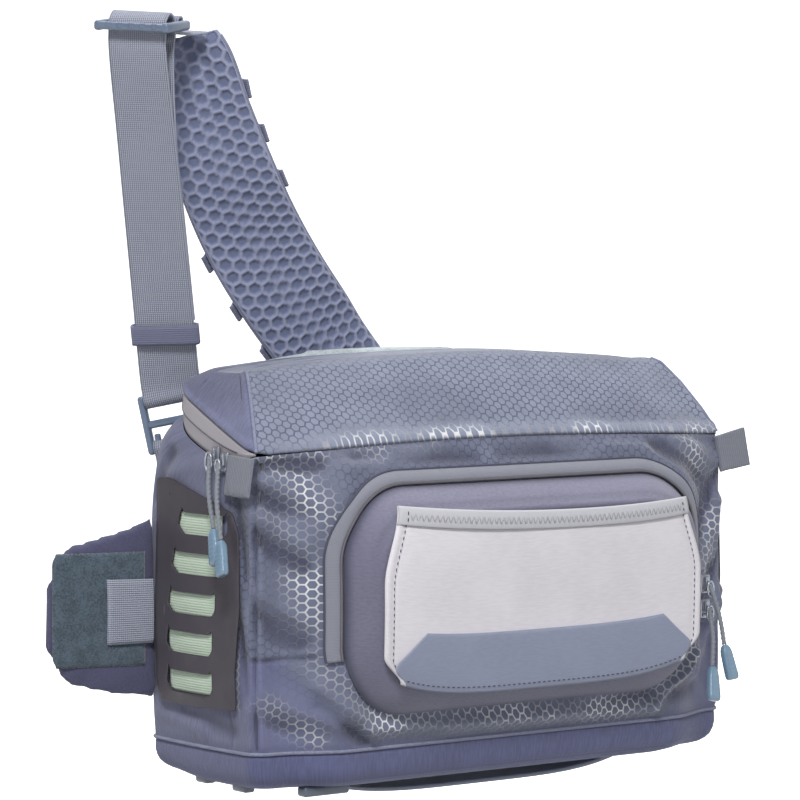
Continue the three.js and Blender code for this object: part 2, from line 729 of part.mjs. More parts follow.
function strapBand(share) {
  // A flat band across the strap's outer face, its ends past the strap's edges.
  const stations = strapPoints(88);
  const i = Math.round(share * (stations.length - 1));
  const here = stations[i];
  const run = stations[i + 1].at.clone().sub(stations[i - 1].at).normalize();
  const { across } = strapFrame(here.twist);
  const square = across.clone().addScaledVector(run, -across.dot(run)).normalize();
  const normal = run.clone().cross(square).normalize();
  const outer = normal.y > 0 ? 1 : -1;
  const lift = outer * (STRAP.thick / 2 + BANDS.thick / 2 + 1);
  const centre = here.at.clone().addScaledVector(normal, lift);
  const ends = [-0.5, 0.5].map((k) => ({
    at: centre.clone().addScaledVector(run, k * BANDS.tall), across: square, normal,
    wide: STRAP.wide * here.wide + BANDS.past, thick: BANDS.thick,
  }));
  return strip(ends);
}

const LADDER_ANGLE = -57;

function ladderParts() {
  const { across, through } = strapFrame(LADDER_ANGLE);
  const top = apexPoint();
  const tilt = across.clone().addScaledVector(vec(0, 0, 1), -0.06).normalize();
  const middle = top.clone().addScaledVector(through, LADDER.deep / 2);
  const right = tilt;
  const up = through.clone().addScaledVector(vec(0, 0, 1), 0.1).normalize();
  const depth = right.clone().cross(up).normalize();
  return { top, middle, right, up, depth };
}

function ladderLock() {
  const { middle, right, up, depth } = ladderParts();
  const [w, h] = [LADDER.long, LADDER.deep];
  const inside = w - 2 * LADDER.rail;
  const gap = (h - 3 * LADDER.bar) / 2;
  const windows = [
    [-inside / 2, -h / 2 + LADDER.bar, inside, gap],
    [-inside / 2, -h / 2 + 2 * LADDER.bar + gap, inside, gap],
  ];
  return windowed(w, h, LADDER.thick, 3, windows, frame(middle, right, up, depth));
}

// The webbing: from the lower buckle up through the ladder lock and back down to the keeper.
function webbingLine() {
  const { middle, right, up } = ladderParts();
  const high = LADDER.thick / 2 + WEB.thick / 2 + 0.6;
  const gap = (LADDER.deep - 3 * LADDER.bar) / 2;
  const slot = (gap + LADDER.bar) / 2;
  const at = (share, rise) => middle.clone().addScaledVector(up, share).add(vec(0, 0, rise));
  const buckle = buckleFrame();
  const bar = (away, rise) => buckle.centre.clone().addScaledVector(buckle.up, rise)
    .addScaledVector(buckle.depth, away);
  const topBar = BUCKLE.tall / 2 - BUCKLE.bar / 2;
  const off = BUCKLE.thick / 2 + WEB.thick / 2 + 1;
  const under = topBar - BUCKLE.bar / 2 - 2.5;
  const start = bar(off, topBar + 5);
  const end = at(-slot, -14);
  const run = [0.25, 0.5, 0.75].map((t) => start.clone().lerp(end, t));
  const back = (t) => start.clone().lerp(end, t).addScaledVector(buckle.depth, -WEB.thick - 1.6);
  const line = [
    bar(-off, topBar + 6), bar(-off - 0.3, topBar - 2), bar(-2.4, under), bar(2.4, under),
    bar(off + 0.3, topBar - 2), start, ...run, end,
    at(-slot, -3), at(-slot + 1, high - 0.6), at(-1.8, high + 0.8), at(1.8, high + 0.8),
    at(slot - 1, high - 0.6), at(slot, -3), at(slot - 3, -16), back(0.72), back(0.5), back(0.2),
  ];
  return { line, right };
}

function strapWebbing() {
  const { line, right } = webbingLine();
  const low = buckleFrame().right;
  const widthOf = (i) => {
    const mixAt = [0, 0, 0, 0, 0, 0, 0.25, 0.5, 0.75];
    const share = i < mixAt.length ? mixAt[i] : [17, 18, 19].includes(i) ? [0.72, 0.5, 0.2][i - 17] : 1;
    return { across: low.clone().lerp(right, share).normalize(), wide: WEB.wide - 2 };
  };
  return along(line, widthOf, () => 1, WEB.thick, false);
}

function padLoop() {
  // The loop sewn in the strap's upper end that holds the ladder lock's rear bar.
  const { middle, right, up } = ladderParts();
  const reach = LADDER.bar / 2 + WEB.thick / 2 + 0.9;
  const high = LADDER.thick / 2 + WEB.thick / 2 + 0.8;
  const centre = LADDER.deep / 2 - LADDER.bar / 2;
  const at = (share, rise) => middle.clone().addScaledVector(up, centre + share).add(vec(0, 0, rise));
  const tip = strapStation(STRAP_LINE[STRAP_LINE.length - 1]).add(vec(0, 0, 2.5));
  const line = [
    at(-reach, -high - 2), at(-reach, 0), at(-reach * 0.6, high), at(reach * 0.6, high),
    at(reach, 0), at(reach + 0.4, -high), tip,
  ];
  const widthOf = () => ({ across: right, wide: WEB.wide - 2 });
  return along(line, widthOf, () => 1, WEB.thick, false);
}

function strapKeeper() {
  const { line, right } = webbingLine();
  const share = 0.16;
  const centre = line[5].clone().lerp(line[9], share);
  const run = line[9].clone().sub(line[5]).normalize();
  const across = buckleFrame().right.clone().lerp(right, share);
  const square = across.addScaledVector(run, -across.dot(run)).normalize();
  const normal = run.clone().cross(square).normalize();
  const window = [-WEB.wide / 2, -WEB.thick / 2 - 0.8, WEB.wide, WEB.thick + 1.6];
  return windowed(WEB.wide + 5, WEB.thick + 5, 12, 1, [window], frame(centre, square, normal, run));
}

function buckleFrame() {
  const right = strapFrame(BUCKLE.twist).across;
  const up = vec(-0.17, 0.12, 1).normalize();
  const square = right.addScaledVector(up, -right.dot(up)).normalize();
  const depth = square.clone().cross(up).normalize();
  const centre = vec(-BUCKLE_AT.out, backFace() + BUCKLE_AT.behind, BODY.height + BUCKLE_AT.above);
  return { centre, right: square, up, depth };
}

function lowerBuckle() {
  const { centre, right, up, depth } = buckleFrame();
  const [w, h] = [BUCKLE.long, BUCKLE.tall];
  const inside = w - 2 * BUCKLE.rail;
  const gap = (h - 3 * BUCKLE.bar) / 2;
  const windows = [
    [-inside / 2, -h / 2 + BUCKLE.bar, inside, gap],
    [-inside / 2, -h / 2 + 2 * BUCKLE.bar + gap, inside, gap],
  ];
  return windowed(w, h, BUCKLE.thick, 4, windows, frame(centre, right, up, depth));
}

// Zip pulls.
function slider(at, right, up, depth) {
  return windowed(SLIDER.wide, SLIDER.tall, SLIDER.thick, 2.5, [], frame(at, right, up, depth));
}

function pullCord(from, to, out) {
  const drop = from.clone().lerp(to, 0.5).addScaledVector(out, 2);
  const line = new THREE.CatmullRomCurve3([from, drop, to]);
  const r = PULL.cord / 2;
  const shape = new THREE.Shape();
  shape.absarc(0, 0, r, 0, 2 * Math.PI, false);
  const options = { steps: 4, extrudePath: line, bevelEnabled: false, curveSegments: 4 };
  return new THREE.ExtrudeGeometry(shape, options);
}

function pullTip(top, across, down) {
  const right = across.clone().addScaledVector(down, -across.dot(down)).normalize();
  const depth = right.clone().cross(down).normalize();
  const square = down;
  const sections = [
    { down: 0, wide: 0.55, thick: 0.7 }, { down: 0.12, wide: 0.8, thick: 0.95 },
    { down: 0.5, wide: 0.92, thick: 1 }, { down: 0.9, wide: 1, thick: 1 },
    { down: 1, wide: 0.86, thick: 0.8 },
  ];
  const stations = sections.map((s) => ({
    at: top.clone().addScaledVector(square, s.down * PULL.tipTall),
    across: right, normal: depth, wide: PULL.tipWide * s.wide, thick: PULL.tipThick * s.thick,
  }));
  return strip(stations, true);
}

function anchorWebbing() {
  // Held round the buckle's lowest bar, both ends sewn into the seam at the body's back edge.
  const { centre, right, up, depth } = buckleFrame();
  const bar = (away, rise) => centre.clone().addScaledVector(up, rise).addScaledVector(depth, away);
  const low = -BUCKLE.tall / 2 + BUCKLE.bar / 2;
  const off = BUCKLE.thick / 2 + WEB.thick / 2 + 1;
  const over = low + BUCKLE.bar / 2 + 2.5;
  const seam = vec(-BACK.halfWidth - WEB.wide / 2 - 1, section(0.4).back + 2.4, BODY.height - 34);
  const line = [
    seam, seam.clone().add(vec(0, 1, 8)), bar(off - 0.4, low - 6), bar(off + 0.4, low + 2),
    bar(2.4, over), bar(-2.4, over), bar(-off - 0.3, low + 2), bar(-off - 0.3, low - 6),
    seam.clone().add(vec(0, WEB.thick + 2, 8)), seam.clone().add(vec(0, WEB.thick + 0.8, 0)),
  ];
  const flat = vec(1, 0, 0);
  const widthOf = (i) => ({ across: [0, 1, 8, 9].includes(i) ? flat : right, wide: WEB.wide - 2 });
  return along(line, widthOf, () => 1, WEB.thick, false);
}

// Zip pulls: a slider on the tape, a cord and a moulded grip.
function zipPulls() {
  const half = SLIDER.thick / 2;
  const side = (y, z) => vec(-sideX(y, z - SLIDER.tall / 2) - SEAT - half, y, z);
  const tape = ZIP.lift + ZIP.thick + FACET;
  const front = (x, z) => vec(x, frontY(x - SLIDER.wide / 2, z) - tape - half, z);
  const [outX, outY] = [vec(-1, 0, 0), vec(0, -1, 0)];
  return [
    { at: side(46, 203), out: outX, across: vec(0, -1, 0), to: vec(-204, 28, 161) },
    { at: side(36, 200), out: outX, across: vec(0, -1, 0), to: vec(-207, 16, 155) },
    { at: front(150.5, 110), out: outY, across: vec(1, 0, 0), to: vec(153, -33, 72) },
    { at: front(150.5, 94), out: outY, across: vec(1, 0, 0), to: vec(141, -35, 59) },
  ];
}

function pullParts({ at, out, across, to }) {
  const up = vec(0, 0, 1);
  const body = slider(at, across, up, out);
  const hang = at.clone().addScaledVector(out, SLIDER.thick / 2 + PULL.cord / 2 + 0.4);
  const cord = pullCord(hang, to, out);
  const down = to.clone().sub(hang).normalize();
  const top = to.clone().addScaledVector(down, 0.5);
  return { body, cord, tip: pullTip(top, across, down) };
}

function baseStrap() {
  const line = Array.from({ length: 13 }, (_, i) => {
    const u = i / 6 - 1;
    return vec(u * BASE_STRAP.half, 52, -1.8 - BASE_STRAP.drop * (1 - u ** 4));
  });
  const widthOf = () => ({ across: vec(0, 1, 0), wide: BASE_STRAP.wide });
  return along(line, widthOf, () => 1, BASE_STRAP.thick, false);
}

const COLOURS = {
  hex: 0x9a9fb4, plain: 0x6b6d90, moulded: 0x7f8098, tape: 0xa8a2ac, slip: 0xd8d5dc,
  band: 0xc8c8cf, patch: 0x828aa2, panel: 0x3e3a42, mint: 0xbfd3c0, web: 0x8e9199,
  plastic: 0x7a8898, loop: 0x4d5c6b, wing: 0x4c4c6a, mesh: 0x8486a6, tip: 0xa5bfd2,
  pale: 0xcdd7dc, metal: 0x9c9ca2,
};

add('body_shell', bodyShell(), COLOURS.hex);
add('base_boot', baseBoot(), COLOURS.plain);
add('lid', lidShell(), COLOURS.hex);
add('lid_zip', lidZip(), COLOURS.tape);
add('pocket_shell', pocketShell(), COLOURS.moulded);
add('pocket_zip', pocketZip(), COLOURS.tape);
add('slip_pocket', drape(16, 6, slipPlace, 0, SLIP.thick), COLOURS.slip);
add('slip_band', slipBand(), COLOURS.band);
add('slip_patch', slipPatch(), COLOURS.patch);
add('back_pad', backPad(), COLOURS.pale);
for (const [name, side] of [['left', -1], ['right', 1]]) {
  add(`side_panel_${name}`, sidePanel(side), COLOURS.panel);
  add(`side_webbing_${name}`, sideWebbing(side), COLOURS.mint);
  add(`hip_wing_${name}`, hipWing(side), COLOURS.wing);
  add(`loop_patch_${name}`, loopPatch(side), COLOURS.loop);
  add(`belt_tab_${name}`, beltTab(side), COLOURS.web);
  add(`pull_tab_${name}`, pullTab(side), COLOURS.web);
}
add('strap_pad', strapPad(), COLOURS.mesh);
for (let i = 0; i < BANDS.count; i += 1) {
  const share = mix(BANDS.first, BANDS.last, i / (BANDS.count - 1));
  add(`strap_band_${i + 1}`, strapBand(share), COLOURS.web);
}
add('strap_webbing', strapWebbing(), COLOURS.web);
add('strap_pad_loop', padLoop(), COLOURS.web);
add('strap_keeper', strapKeeper(), COLOURS.web);
add('ladder_lock', ladderLock(), COLOURS.plastic);
add('lower_buckle', lowerBuckle(), COLOURS.plastic);
add('anchor_webbing', anchorWebbing(), COLOURS.web);
zipPulls().forEach((pull, i) => {
  const { body, cord, tip } = pullParts(pull);
  add(`zip_slider_${i + 1}`, body, COLOURS.metal);
  add(`zip_cord_${i + 1}`, cord, COLOURS.patch);
  add(`zip_grip_${i + 1}`, tip, COLOURS.tip);
});
add('base_strap', baseStrap(), COLOURS.patch);

export default group;
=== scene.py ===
"""The looks of the fishing tackle sling bag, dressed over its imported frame.

Forms are worked out in millimetres from the bag's base plane, its middle and its front corner,
and are moved into the row frame, in metres, when a mesh is made.
"""
import logging
import math
from dataclasses import dataclass, field
from enum import Enum
from typing import Callable, Optional, Sequence, Union

import bmesh
import bpy
import numpy as np
from mathutils import Matrix, Vector


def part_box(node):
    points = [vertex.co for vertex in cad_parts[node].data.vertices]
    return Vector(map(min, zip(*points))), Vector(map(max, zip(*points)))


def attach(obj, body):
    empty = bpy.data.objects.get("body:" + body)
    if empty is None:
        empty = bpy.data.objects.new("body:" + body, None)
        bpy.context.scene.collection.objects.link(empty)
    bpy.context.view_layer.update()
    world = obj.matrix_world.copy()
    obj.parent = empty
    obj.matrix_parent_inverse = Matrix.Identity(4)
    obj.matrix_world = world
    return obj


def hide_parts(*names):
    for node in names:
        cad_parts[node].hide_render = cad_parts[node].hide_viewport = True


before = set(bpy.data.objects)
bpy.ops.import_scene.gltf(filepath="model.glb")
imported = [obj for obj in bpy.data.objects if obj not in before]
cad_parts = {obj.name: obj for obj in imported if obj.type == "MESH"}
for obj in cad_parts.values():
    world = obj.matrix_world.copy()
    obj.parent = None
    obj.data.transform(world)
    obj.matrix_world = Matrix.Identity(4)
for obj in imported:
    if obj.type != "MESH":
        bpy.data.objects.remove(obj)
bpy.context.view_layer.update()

log = logging.getLogger("sling_bag")

MM = 0.001
ROOT = "root"
SEAT = 0.3

Grid = np.ndarray
Piece = bpy.types.Object
Material = bpy.types.Material
Socket = bpy.types.NodeSocket
Colour = tuple[float, float, float]
Value = Union[float, Socket]
Number = Union[float, Grid]


class Side(Enum):
    """The bag's two ends, by the sign of X."""

    LEFT = -1
    RIGHT = 1

    @property
    def word(self) -> str:
        """The end's name as the frame's nodes have it."""
        return self.name.lower()


class Form(Enum):
    """How a thread shape lies: a plain dash, or one leg of a zigzag."""

    DASH = "dash"
    ZIGZAG = "zigzag"


def srgb(red: int, green: int, blue: int) -> Colour:
    """A screen colour from 0 to 255 as the linear colour that a shader takes."""
    screen = (red / 255, green / 255, blue / 255)
    return tuple(c / 12.92 if c <= 0.04 else ((c + 0.055) / 1.055) ** 2.4 for c in screen)


def smooth(value: Grid) -> Grid:
    """A soft step from 0 to 1."""
    share = np.clip(value, 0.0, 1.0)
    return share * share * (3 - 2 * share)


def blend(start: Number, end: Number, share: Number) -> Number:
    """The value at a share of the way from start to end."""
    return start + (end - start) * share


def ridge(away: Grid, wide: float) -> Grid:
    """A soft ridge, 1 on its line and near 0 past its width."""
    return np.exp(-(away / wide) ** 2)


def squarer(wave: Grid, power: float) -> Grid:
    """A sine or cosine made squarer by a power under 1, with its sign kept."""
    return np.sign(wave) * np.abs(wave) ** power


def pair(across: Grid, up: Grid) -> Grid:
    """Two arrays as one array of UV places."""
    return np.stack(np.broadcast_arrays(across, up), -1)


def steps(cols: int, rows: int) -> tuple[Grid, Grid]:
    """Shares from 0 to 1 across, as a row, and up, as a column."""
    return np.linspace(0, 1, cols)[None, :], np.linspace(0, 1, rows)[:, None]


def tinted(colour: Colour, share: float) -> Colour:
    """A colour made darker or paler."""
    return tuple(share * c for c in colour)


# Form of the body, as the frame has it.
@dataclass(frozen=True)
class SectionRow:
    """One level of the body: its shares of the width, bulges, depth and back radius."""

    up: float
    wide: float
    bulge: float
    side: float
    deep: float
    turn: float


BODY_SECTIONS = (
    SectionRow(0.00, 0.992, 0.62, 0.35, 1.01, 0.90),
    SectionRow(0.16, 0.998, 0.88, 0.75, 1.03, 1.00),
    SectionRow(0.40, 1.000, 1.00, 1.00, 1.03, 1.00),
    SectionRow(0.66, 0.998, 0.98, 0.85, 1.02, 1.00),
    SectionRow(0.84, 0.998, 0.86, 0.45, 0.97, 1.20),
    SectionRow(0.93, 0.997, 0.58, 0.20, 0.90, 1.55),
    SectionRow(1.00, 0.992, 0.24, 0.00, 0.82, 2.00),
)


@dataclass(frozen=True)
class Ring:
    """The body's section at some levels, each value an array."""

    half: Grid
    bulge: Grid
    side: Grid
    back: Grid
    turn: Grid


@dataclass(frozen=True)
class BodyForm:
    """The body's form: sections stacked from the lower seam to the zip line."""

    half_width: float = 189.0
    height: float = 206.0
    depth: float = 116.0
    corner_y: float = 8.0
    seam: float = 24.0
    front_radius: float = 12.0
    back_radius: float = 13.0
    front_bulge: float = 27.0
    side_bulge: float = 5.0
    ramp: float = 46.0
    crown: float = 6.0

    def column(self, key: str, level: Grid) -> Grid:
        """Reads one column of the section table with a smooth cubic.

        Args:
            key: the column's name.
            level: shares of the height, from 0 to 1.

        Returns:
            The column's value at each level.
        """
        ups = np.array([row.up for row in BODY_SECTIONS])
        values = np.array([getattr(row, key) for row in BODY_SECTIONS])
        last = len(ups) - 1
        low, high = np.maximum(np.arange(last + 1) - 1, 0), np.minimum(np.arange(last + 1) + 1, last)
        slopes = (values[high] - values[low]) / (ups[high] - ups[low])
        at = np.clip(level, 0.0, 1.0)
        i = np.clip(np.searchsorted(ups, at, side="right") - 1, 0, last - 1)
        span = ups[i + 1] - ups[i]
        t = (at - ups[i]) / span
        a = 2 * t**3 - 3 * t**2 + 1
        return (a * values[i] + (t**3 - 2 * t**2 + t) * span * slopes[i]
                + (1 - a) * values[i + 1] + (t**3 - t**2) * span * slopes[i + 1])

    def section(self, level: Grid) -> Ring:
        """The body's section at each level.

        Args:
            level: shares of the height, from 0 to 1.

        Returns:
            The section's measures at each level.
        """
        return Ring(
            half=self.half_width * self.column("wide", level),
            bulge=self.front_bulge * self.column("bulge", level),
            side=self.side_bulge * self.column("side", level),
            back=self.corner_y + self.depth * self.column("deep", level),
            turn=self.back_radius * self.column("turn", level),
        )

    def front_curve(self, ring: Ring, x: Grid) -> Grid:
        """How far forward the front lies at each x of a section.

        Args:
            ring: the sections.
            x: places across.

        Returns:
            The y of the front at each place.
        """
        edge = ring.half - self.front_radius
        past = np.abs(x) - edge
        run = np.clip(past, 0.0, self.front_radius)
        rounded = self.corner_y + self.front_radius - np.sqrt(np.maximum(self.front_radius**2 - run**2, 0.0))
        return np.where(past > 0, rounded, self.corner_y - ring.bulge * smooth(-past / self.ramp))

    def side_curve(self, ring: Ring, y: Grid) -> Grid:
        """How far out the side lies at each y of a section.

        Args:
            ring: the sections.
            y: places from front to back.

        Returns:
            The distance from the middle at each place.
        """
        start, end = self.corner_y + self.front_radius, ring.back - ring.turn
        middle = (start + end) / 2
        share = np.clip((y - middle) / (end - middle), -1.0, 1.0)
        flat = ring.half + ring.side * (1 - share * share)
        run = np.clip(y - end, 0.0, ring.turn)
        rounded = ring.half - ring.turn + np.sqrt(np.maximum(ring.turn**2 - run**2, 0.0))
        return np.where(y > end, rounded, flat)

    def crown_at(self, x: Grid, y: Grid) -> Grid:
        """The rise of the rims over the middle of the front."""
        across = np.maximum(0.0, 1 - (x / self.half_width) ** 2)
        return self.crown * across * (1 - smooth((y - self.corner_y) / self.depth))

    def rim(self, x: Grid, y: Grid) -> Grid:
        """The height of the body's upper edge."""
        back = np.maximum(0.0, y - self.corner_y - 22) / self.depth
        front = 1 - smooth((y - self.corner_y) / 22)
        return self.height - 6 + 4 * front + 72 * back**2 + self.crown_at(x, y)

    def lid_rim(self, x: Grid, y: Grid) -> Grid:
        """The height of the lid's lower edge."""
        along = np.maximum(0.0, y - self.corner_y) / self.depth
        return self.height - 1.6 + 47 * along + 8 * along**2 + self.crown_at(x, y)

    def level_at(self, x: Grid, y: Grid, z: Grid) -> Grid:
        """The share of the height that a place lies at."""
        return np.clip((z - self.seam) / (self.rim(x, y) - self.seam), 0.0, 1.0)

    def front_y(self, x: Grid, z: Grid) -> Grid:
        """The front's y at a place seen from the front."""
        y = np.full(np.broadcast(x, z).shape, self.corner_y)
        for _ in range(3):
            y = self.front_curve(self.section(self.level_at(x, y, z)), x)
        return y

    def side_x(self, y: Grid, z: Grid) -> Grid:
        """The side's x, without its sign, at a place seen from the side."""
        return self.side_curve(self.section(self.level_at(self.half_width, y, z)), y)

    def back_face(self) -> float:
        """The y of the body's back wall at its deepest."""
        return float(self.section(np.array(0.4)).back)


BODY = BodyForm()


class Wall(Enum):
    """The stretches of the body's outline in plan, in order from the middle of the back."""

    BACK_LEFT = 168
    BACK_LEFT_CORNER = 20
    LEFT = 94
    FRONT_LEFT_CORNER = 19
    FRONT = 362
    FRONT_RIGHT_CORNER = 19.1
    RIGHT = 94.1
    BACK_RIGHT_CORNER = 20.1
    BACK_RIGHT = 168.1


WALLS = tuple(Wall)
WALL_ENDS = np.cumsum([0.0] + [wall.value for wall in WALLS])


def wall_start(wall: Wall) -> float:
    """The distance round the body at which a wall starts."""
    return float(WALL_ENDS[WALLS.index(wall)])


CORNER_SEAMS = tuple(
    wall_start(wall) + wall.value / 2 for wall in (Wall.FRONT_LEFT_CORNER, Wall.FRONT_RIGHT_CORNER)
)


def plan_point(ring: Ring, along: Grid) -> tuple[Grid, Grid]:
    """Places in plan round a section.

    Args:
        ring: the sections, as a column of rows.
        along: distances round the body, as a row.

    Returns:
        The x and y of each place.
    """
    which = np.clip(np.searchsorted(WALL_ENDS, along, side="right") - 1, 0, len(WALLS) - 1)
    lengths = np.array([wall.value for wall in WALLS])
    t = (along - WALL_ENDS[which]) / lengths[which]
    r = BODY.front_radius
    back_x, edge = ring.half - ring.turn, ring.half - r
    low, high = BODY.corner_y + r, ring.back - ring.turn
    quarter = np.pi / 2 * t
    y_left, y_right = blend(high, low, t), blend(low, high, t)
    x_front = blend(-edge, edge, t)
    xs = [
        -back_x * t, -back_x - ring.turn * np.sin(quarter), -BODY.side_curve(ring, y_left),
        -edge - r * np.cos(quarter), x_front, edge + r * np.sin(quarter),
        BODY.side_curve(ring, y_right), back_x + ring.turn * np.cos(quarter), back_x * (1 - t),
    ]
    ys = [
        ring.back + 0 * t, high + ring.turn * np.cos(quarter), y_left,
        low - r * np.sin(quarter), BODY.front_curve(ring, x_front), low - r * np.cos(quarter),
        y_right, high + ring.turn * np.sin(quarter), ring.back + 0 * t,
    ]
    pick = [np.broadcast_to(which == k, np.broadcast(ring.half, along).shape) for k in range(len(WALLS))]
    shape = pick[0].shape
    wide = [np.broadcast_to(x, shape) for x in xs]
    deep = [np.broadcast_to(y, shape) for y in ys]
    return np.select(pick, wide), np.select(pick, deep)


# Making meshes.
@dataclass(frozen=True)
class Datum:
    """Where the bag's base plane, middle and front corner lie in the row frame, in metres."""

    x: float
    y: float
    z: float

    @staticmethod
    def from_frame() -> "Datum":
        """Reads the place from the boxes of three nodes of the frame."""
        low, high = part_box("body_shell")
        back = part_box("back_pad")[0][1] - (BODY.back_face() + 0.6) * MM
        return Datum((low[0] + high[0]) / 2, back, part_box("base_boot")[0][2])

    def origin(self) -> Grid:
        """The place as an array."""
        return np.array([self.x, self.y, self.z])

    def row(self, points: Grid) -> Grid:
        """Millimetres from the base plane as metres in the row frame."""
        return np.asarray(points, dtype=float) * MM + self.origin()

    def point(self, place: Sequence[float]) -> Vector:
        """One place as a vector in the row frame."""
        return Vector(self.row(np.array(place)))


DATUM = Datum.from_frame()


def stack(x: Grid, y: Grid, z: Grid) -> Grid:
    """Three arrays as one array of points."""
    return np.stack(np.broadcast_arrays(x, y, z), axis=-1).astype(float)


def normals_of(points: Grid) -> Grid:
    """Unit normals of a grid of points, to the right of its rows and up its columns."""
    across = np.gradient(points, axis=1)
    up = np.gradient(points, axis=0)
    normal = np.cross(across, up)
    return normal / np.maximum(np.linalg.norm(normal, axis=-1, keepdims=True), 1e-9)


def tangents(line: Grid) -> Grid:
    """Unit directions along a line."""
    run = np.gradient(line, axis=0)
    return run / np.linalg.norm(run, axis=1, keepdims=True)


def squared(across: Grid, run: Grid) -> Grid:
    """Unit width directions, square to the line that they lie across."""
    square = across - np.sum(across * run, axis=1, keepdims=True) * run
    return square / np.linalg.norm(square, axis=1, keepdims=True)


def run_lengths(points: Grid) -> Grid:
    """The distance along a line of points at each of them."""
    steps = np.linalg.norm(np.diff(points, axis=0), axis=1)
    return np.concatenate([[0.0], np.cumsum(steps)])


def read_at(line: Grid, at: Grid) -> Grid:
    """A line's values at distances along it."""
    lengths = run_lengths(line)
    return np.stack([np.interp(at, lengths, line[:, k]) for k in range(line.shape[1])], axis=1)


def spaced(line: Grid, count: int) -> Grid:
    """A line's values at so many even steps."""
    return read_at(line, np.linspace(0, run_lengths(line)[-1], count))


def flowing(points: Sequence[Sequence[float]], count: int) -> Grid:
    """A smooth line through given points.

    Args:
        points: the places to pass through.
        count: how many points the line gets.

    Returns:
        The line's points, evenly spaced.
    """
    knots = np.asarray(points, dtype=float)
    padded = np.vstack([2 * knots[0] - knots[1], knots, 2 * knots[-1] - knots[-2]])
    fine = []
    for i in range(1, len(padded) - 2):
        a, b, c, d = padded[i - 1:i + 3]
        gaps = [max(float(np.linalg.norm(q - p)), 1e-6) ** 0.5 for p, q in ((a, b), (b, c), (c, d))]
        t1, t2, t3 = gaps[0], gaps[0] + gaps[1], sum(gaps)
        for t in np.linspace(t1, t2, 24, endpoint=False):
            ab, bc = blend(a, b, t / t1), blend(b, c, (t - t1) / gaps[1])
            cd = blend(c, d, (t - t2) / gaps[2])
            abc, bcd = blend(ab, bc, t / t2), blend(bc, cd, (t - t1) / (t3 - t1))
            fine.append(blend(abc, bcd, (t - t1) / gaps[1]))
    fine.append(knots[-1])
    return spaced(np.array(fine), count)


def placed(name: str, data: bpy.types.ID) -> Piece:
    """Puts a mesh, curve, light or camera into the scene."""
    piece = bpy.data.objects.new(name, data)
    bpy.context.scene.collection.objects.link(piece)
    return piece


def link(name: str, mesh: bpy.types.Mesh, finishes: Sequence[Material]) -> Piece:
    """Puts a mesh into the scene with its finishes."""
    for finish in finishes:
        mesh.materials.append(finish)
    return placed(name, mesh)


def written(bm: bmesh.types.BMesh, name: str) -> bpy.types.Mesh:
    """Built geometry as a mesh."""
    mesh = bpy.data.meshes.new(name)
    bm.to_mesh(mesh)
    bm.free()
    return mesh


def finished(bm: bmesh.types.BMesh, name: str, finish: Material) -> Piece:
    """Turns built geometry into a piece with smooth faces."""
    for face in bm.faces:
        face.smooth = True
    return link(name, written(bm, name), [finish])


@dataclass
class Cloth:
    """A grid of points, its width and height as UV, and the finish of each face."""

    points: Grid
    uv: Optional[Grid] = None
    zones: Optional[Grid] = None
    closed: bool = False
    capped: bool = False
    marks: dict[str, Grid] = field(default_factory=dict)

    def laid(self) -> Grid:
        """UV in metres from the distances along the grid's middle row and column."""
        rows, cols = self.points.shape[:2]
        across = run_lengths(self.points[rows // 2])
        up = run_lengths(self.points[:, cols // 2])
        return np.stack(np.meshgrid(across, up), axis=-1)

    def mesh(self, name: str) -> bpy.types.Mesh:
        """Shapes a flat grid to the points.

        Args:
            name: the mesh's name.

        Returns:
            The mesh in the row frame.
        """
        rows, cols = self.points.shape[:2]
        places = DATUM.row(self.points)
        uv = (self.laid() if self.uv is None else self.uv) * MM
        bm = bmesh.new()
        bmesh.ops.create_grid(bm, x_segments=cols - 1, y_segments=rows - 1, size=1.0)
        layer = bm.loops.layers.uv.new("weave")
        marks = {key: bm.verts.layers.float.new(key) for key in self.marks}
        index = {}
        for vert in bm.verts:
            i = round((vert.co.x + 1) / 2 * (cols - 1))
            j = round((vert.co.y + 1) / 2 * (rows - 1))
            index[vert] = (j, i)
            vert.co = places[j, i]
            for key, mark in marks.items():
                vert[mark] = float(self.marks[key][j, i])
        for face in bm.faces:
            corners = [index[vert] for vert in face.verts]
            j, i = min(c[0] for c in corners), min(c[1] for c in corners)
            face.smooth = True
            face.material_index = 0 if self.zones is None else int(self.zones[j, i])
            for loop in face.loops:
                loop[layer].uv = uv[index[loop.vert]]
        if self.closed:
            bmesh.ops.remove_doubles(bm, verts=bm.verts, dist=1e-6)
        if self.capped:
            edges = [edge for edge in bm.edges if edge.is_boundary]
            bmesh.ops.holes_fill(bm, edges=edges, sides=0)
            bmesh.ops.recalc_face_normals(bm, faces=bm.faces)
        return written(bm, name)

    def piece(self, name: str, finishes: Sequence[Material], thick: float = 0.0,
              offset: float = -1.0) -> Piece:
        """Makes the piece, with a wall where it needs one.

        Args:
            name: the piece's name.
            finishes: its materials, in the order of the zones.
            thick: the wall's thickness in millimetres, or 0 for none.
            offset: -1 to grow inwards, 0 to both sides, 1 outwards.

        Returns:
            The piece.
        """
        piece = link(name, self.mesh(name), finishes)
        if thick:
            wall = piece.modifiers.new("wall", "SOLIDIFY")
            wall.thickness = thick * MM
            wall.offset = offset
            wall.use_even_offset = False
        return piece


def soften(piece: Piece, levels: int) -> None:
    """Adds a subdivision surface that is the same in the view and in the render."""
    surface = piece.modifiers.new("smooth", "SUBSURF")
    surface.levels = surface.render_levels = levels


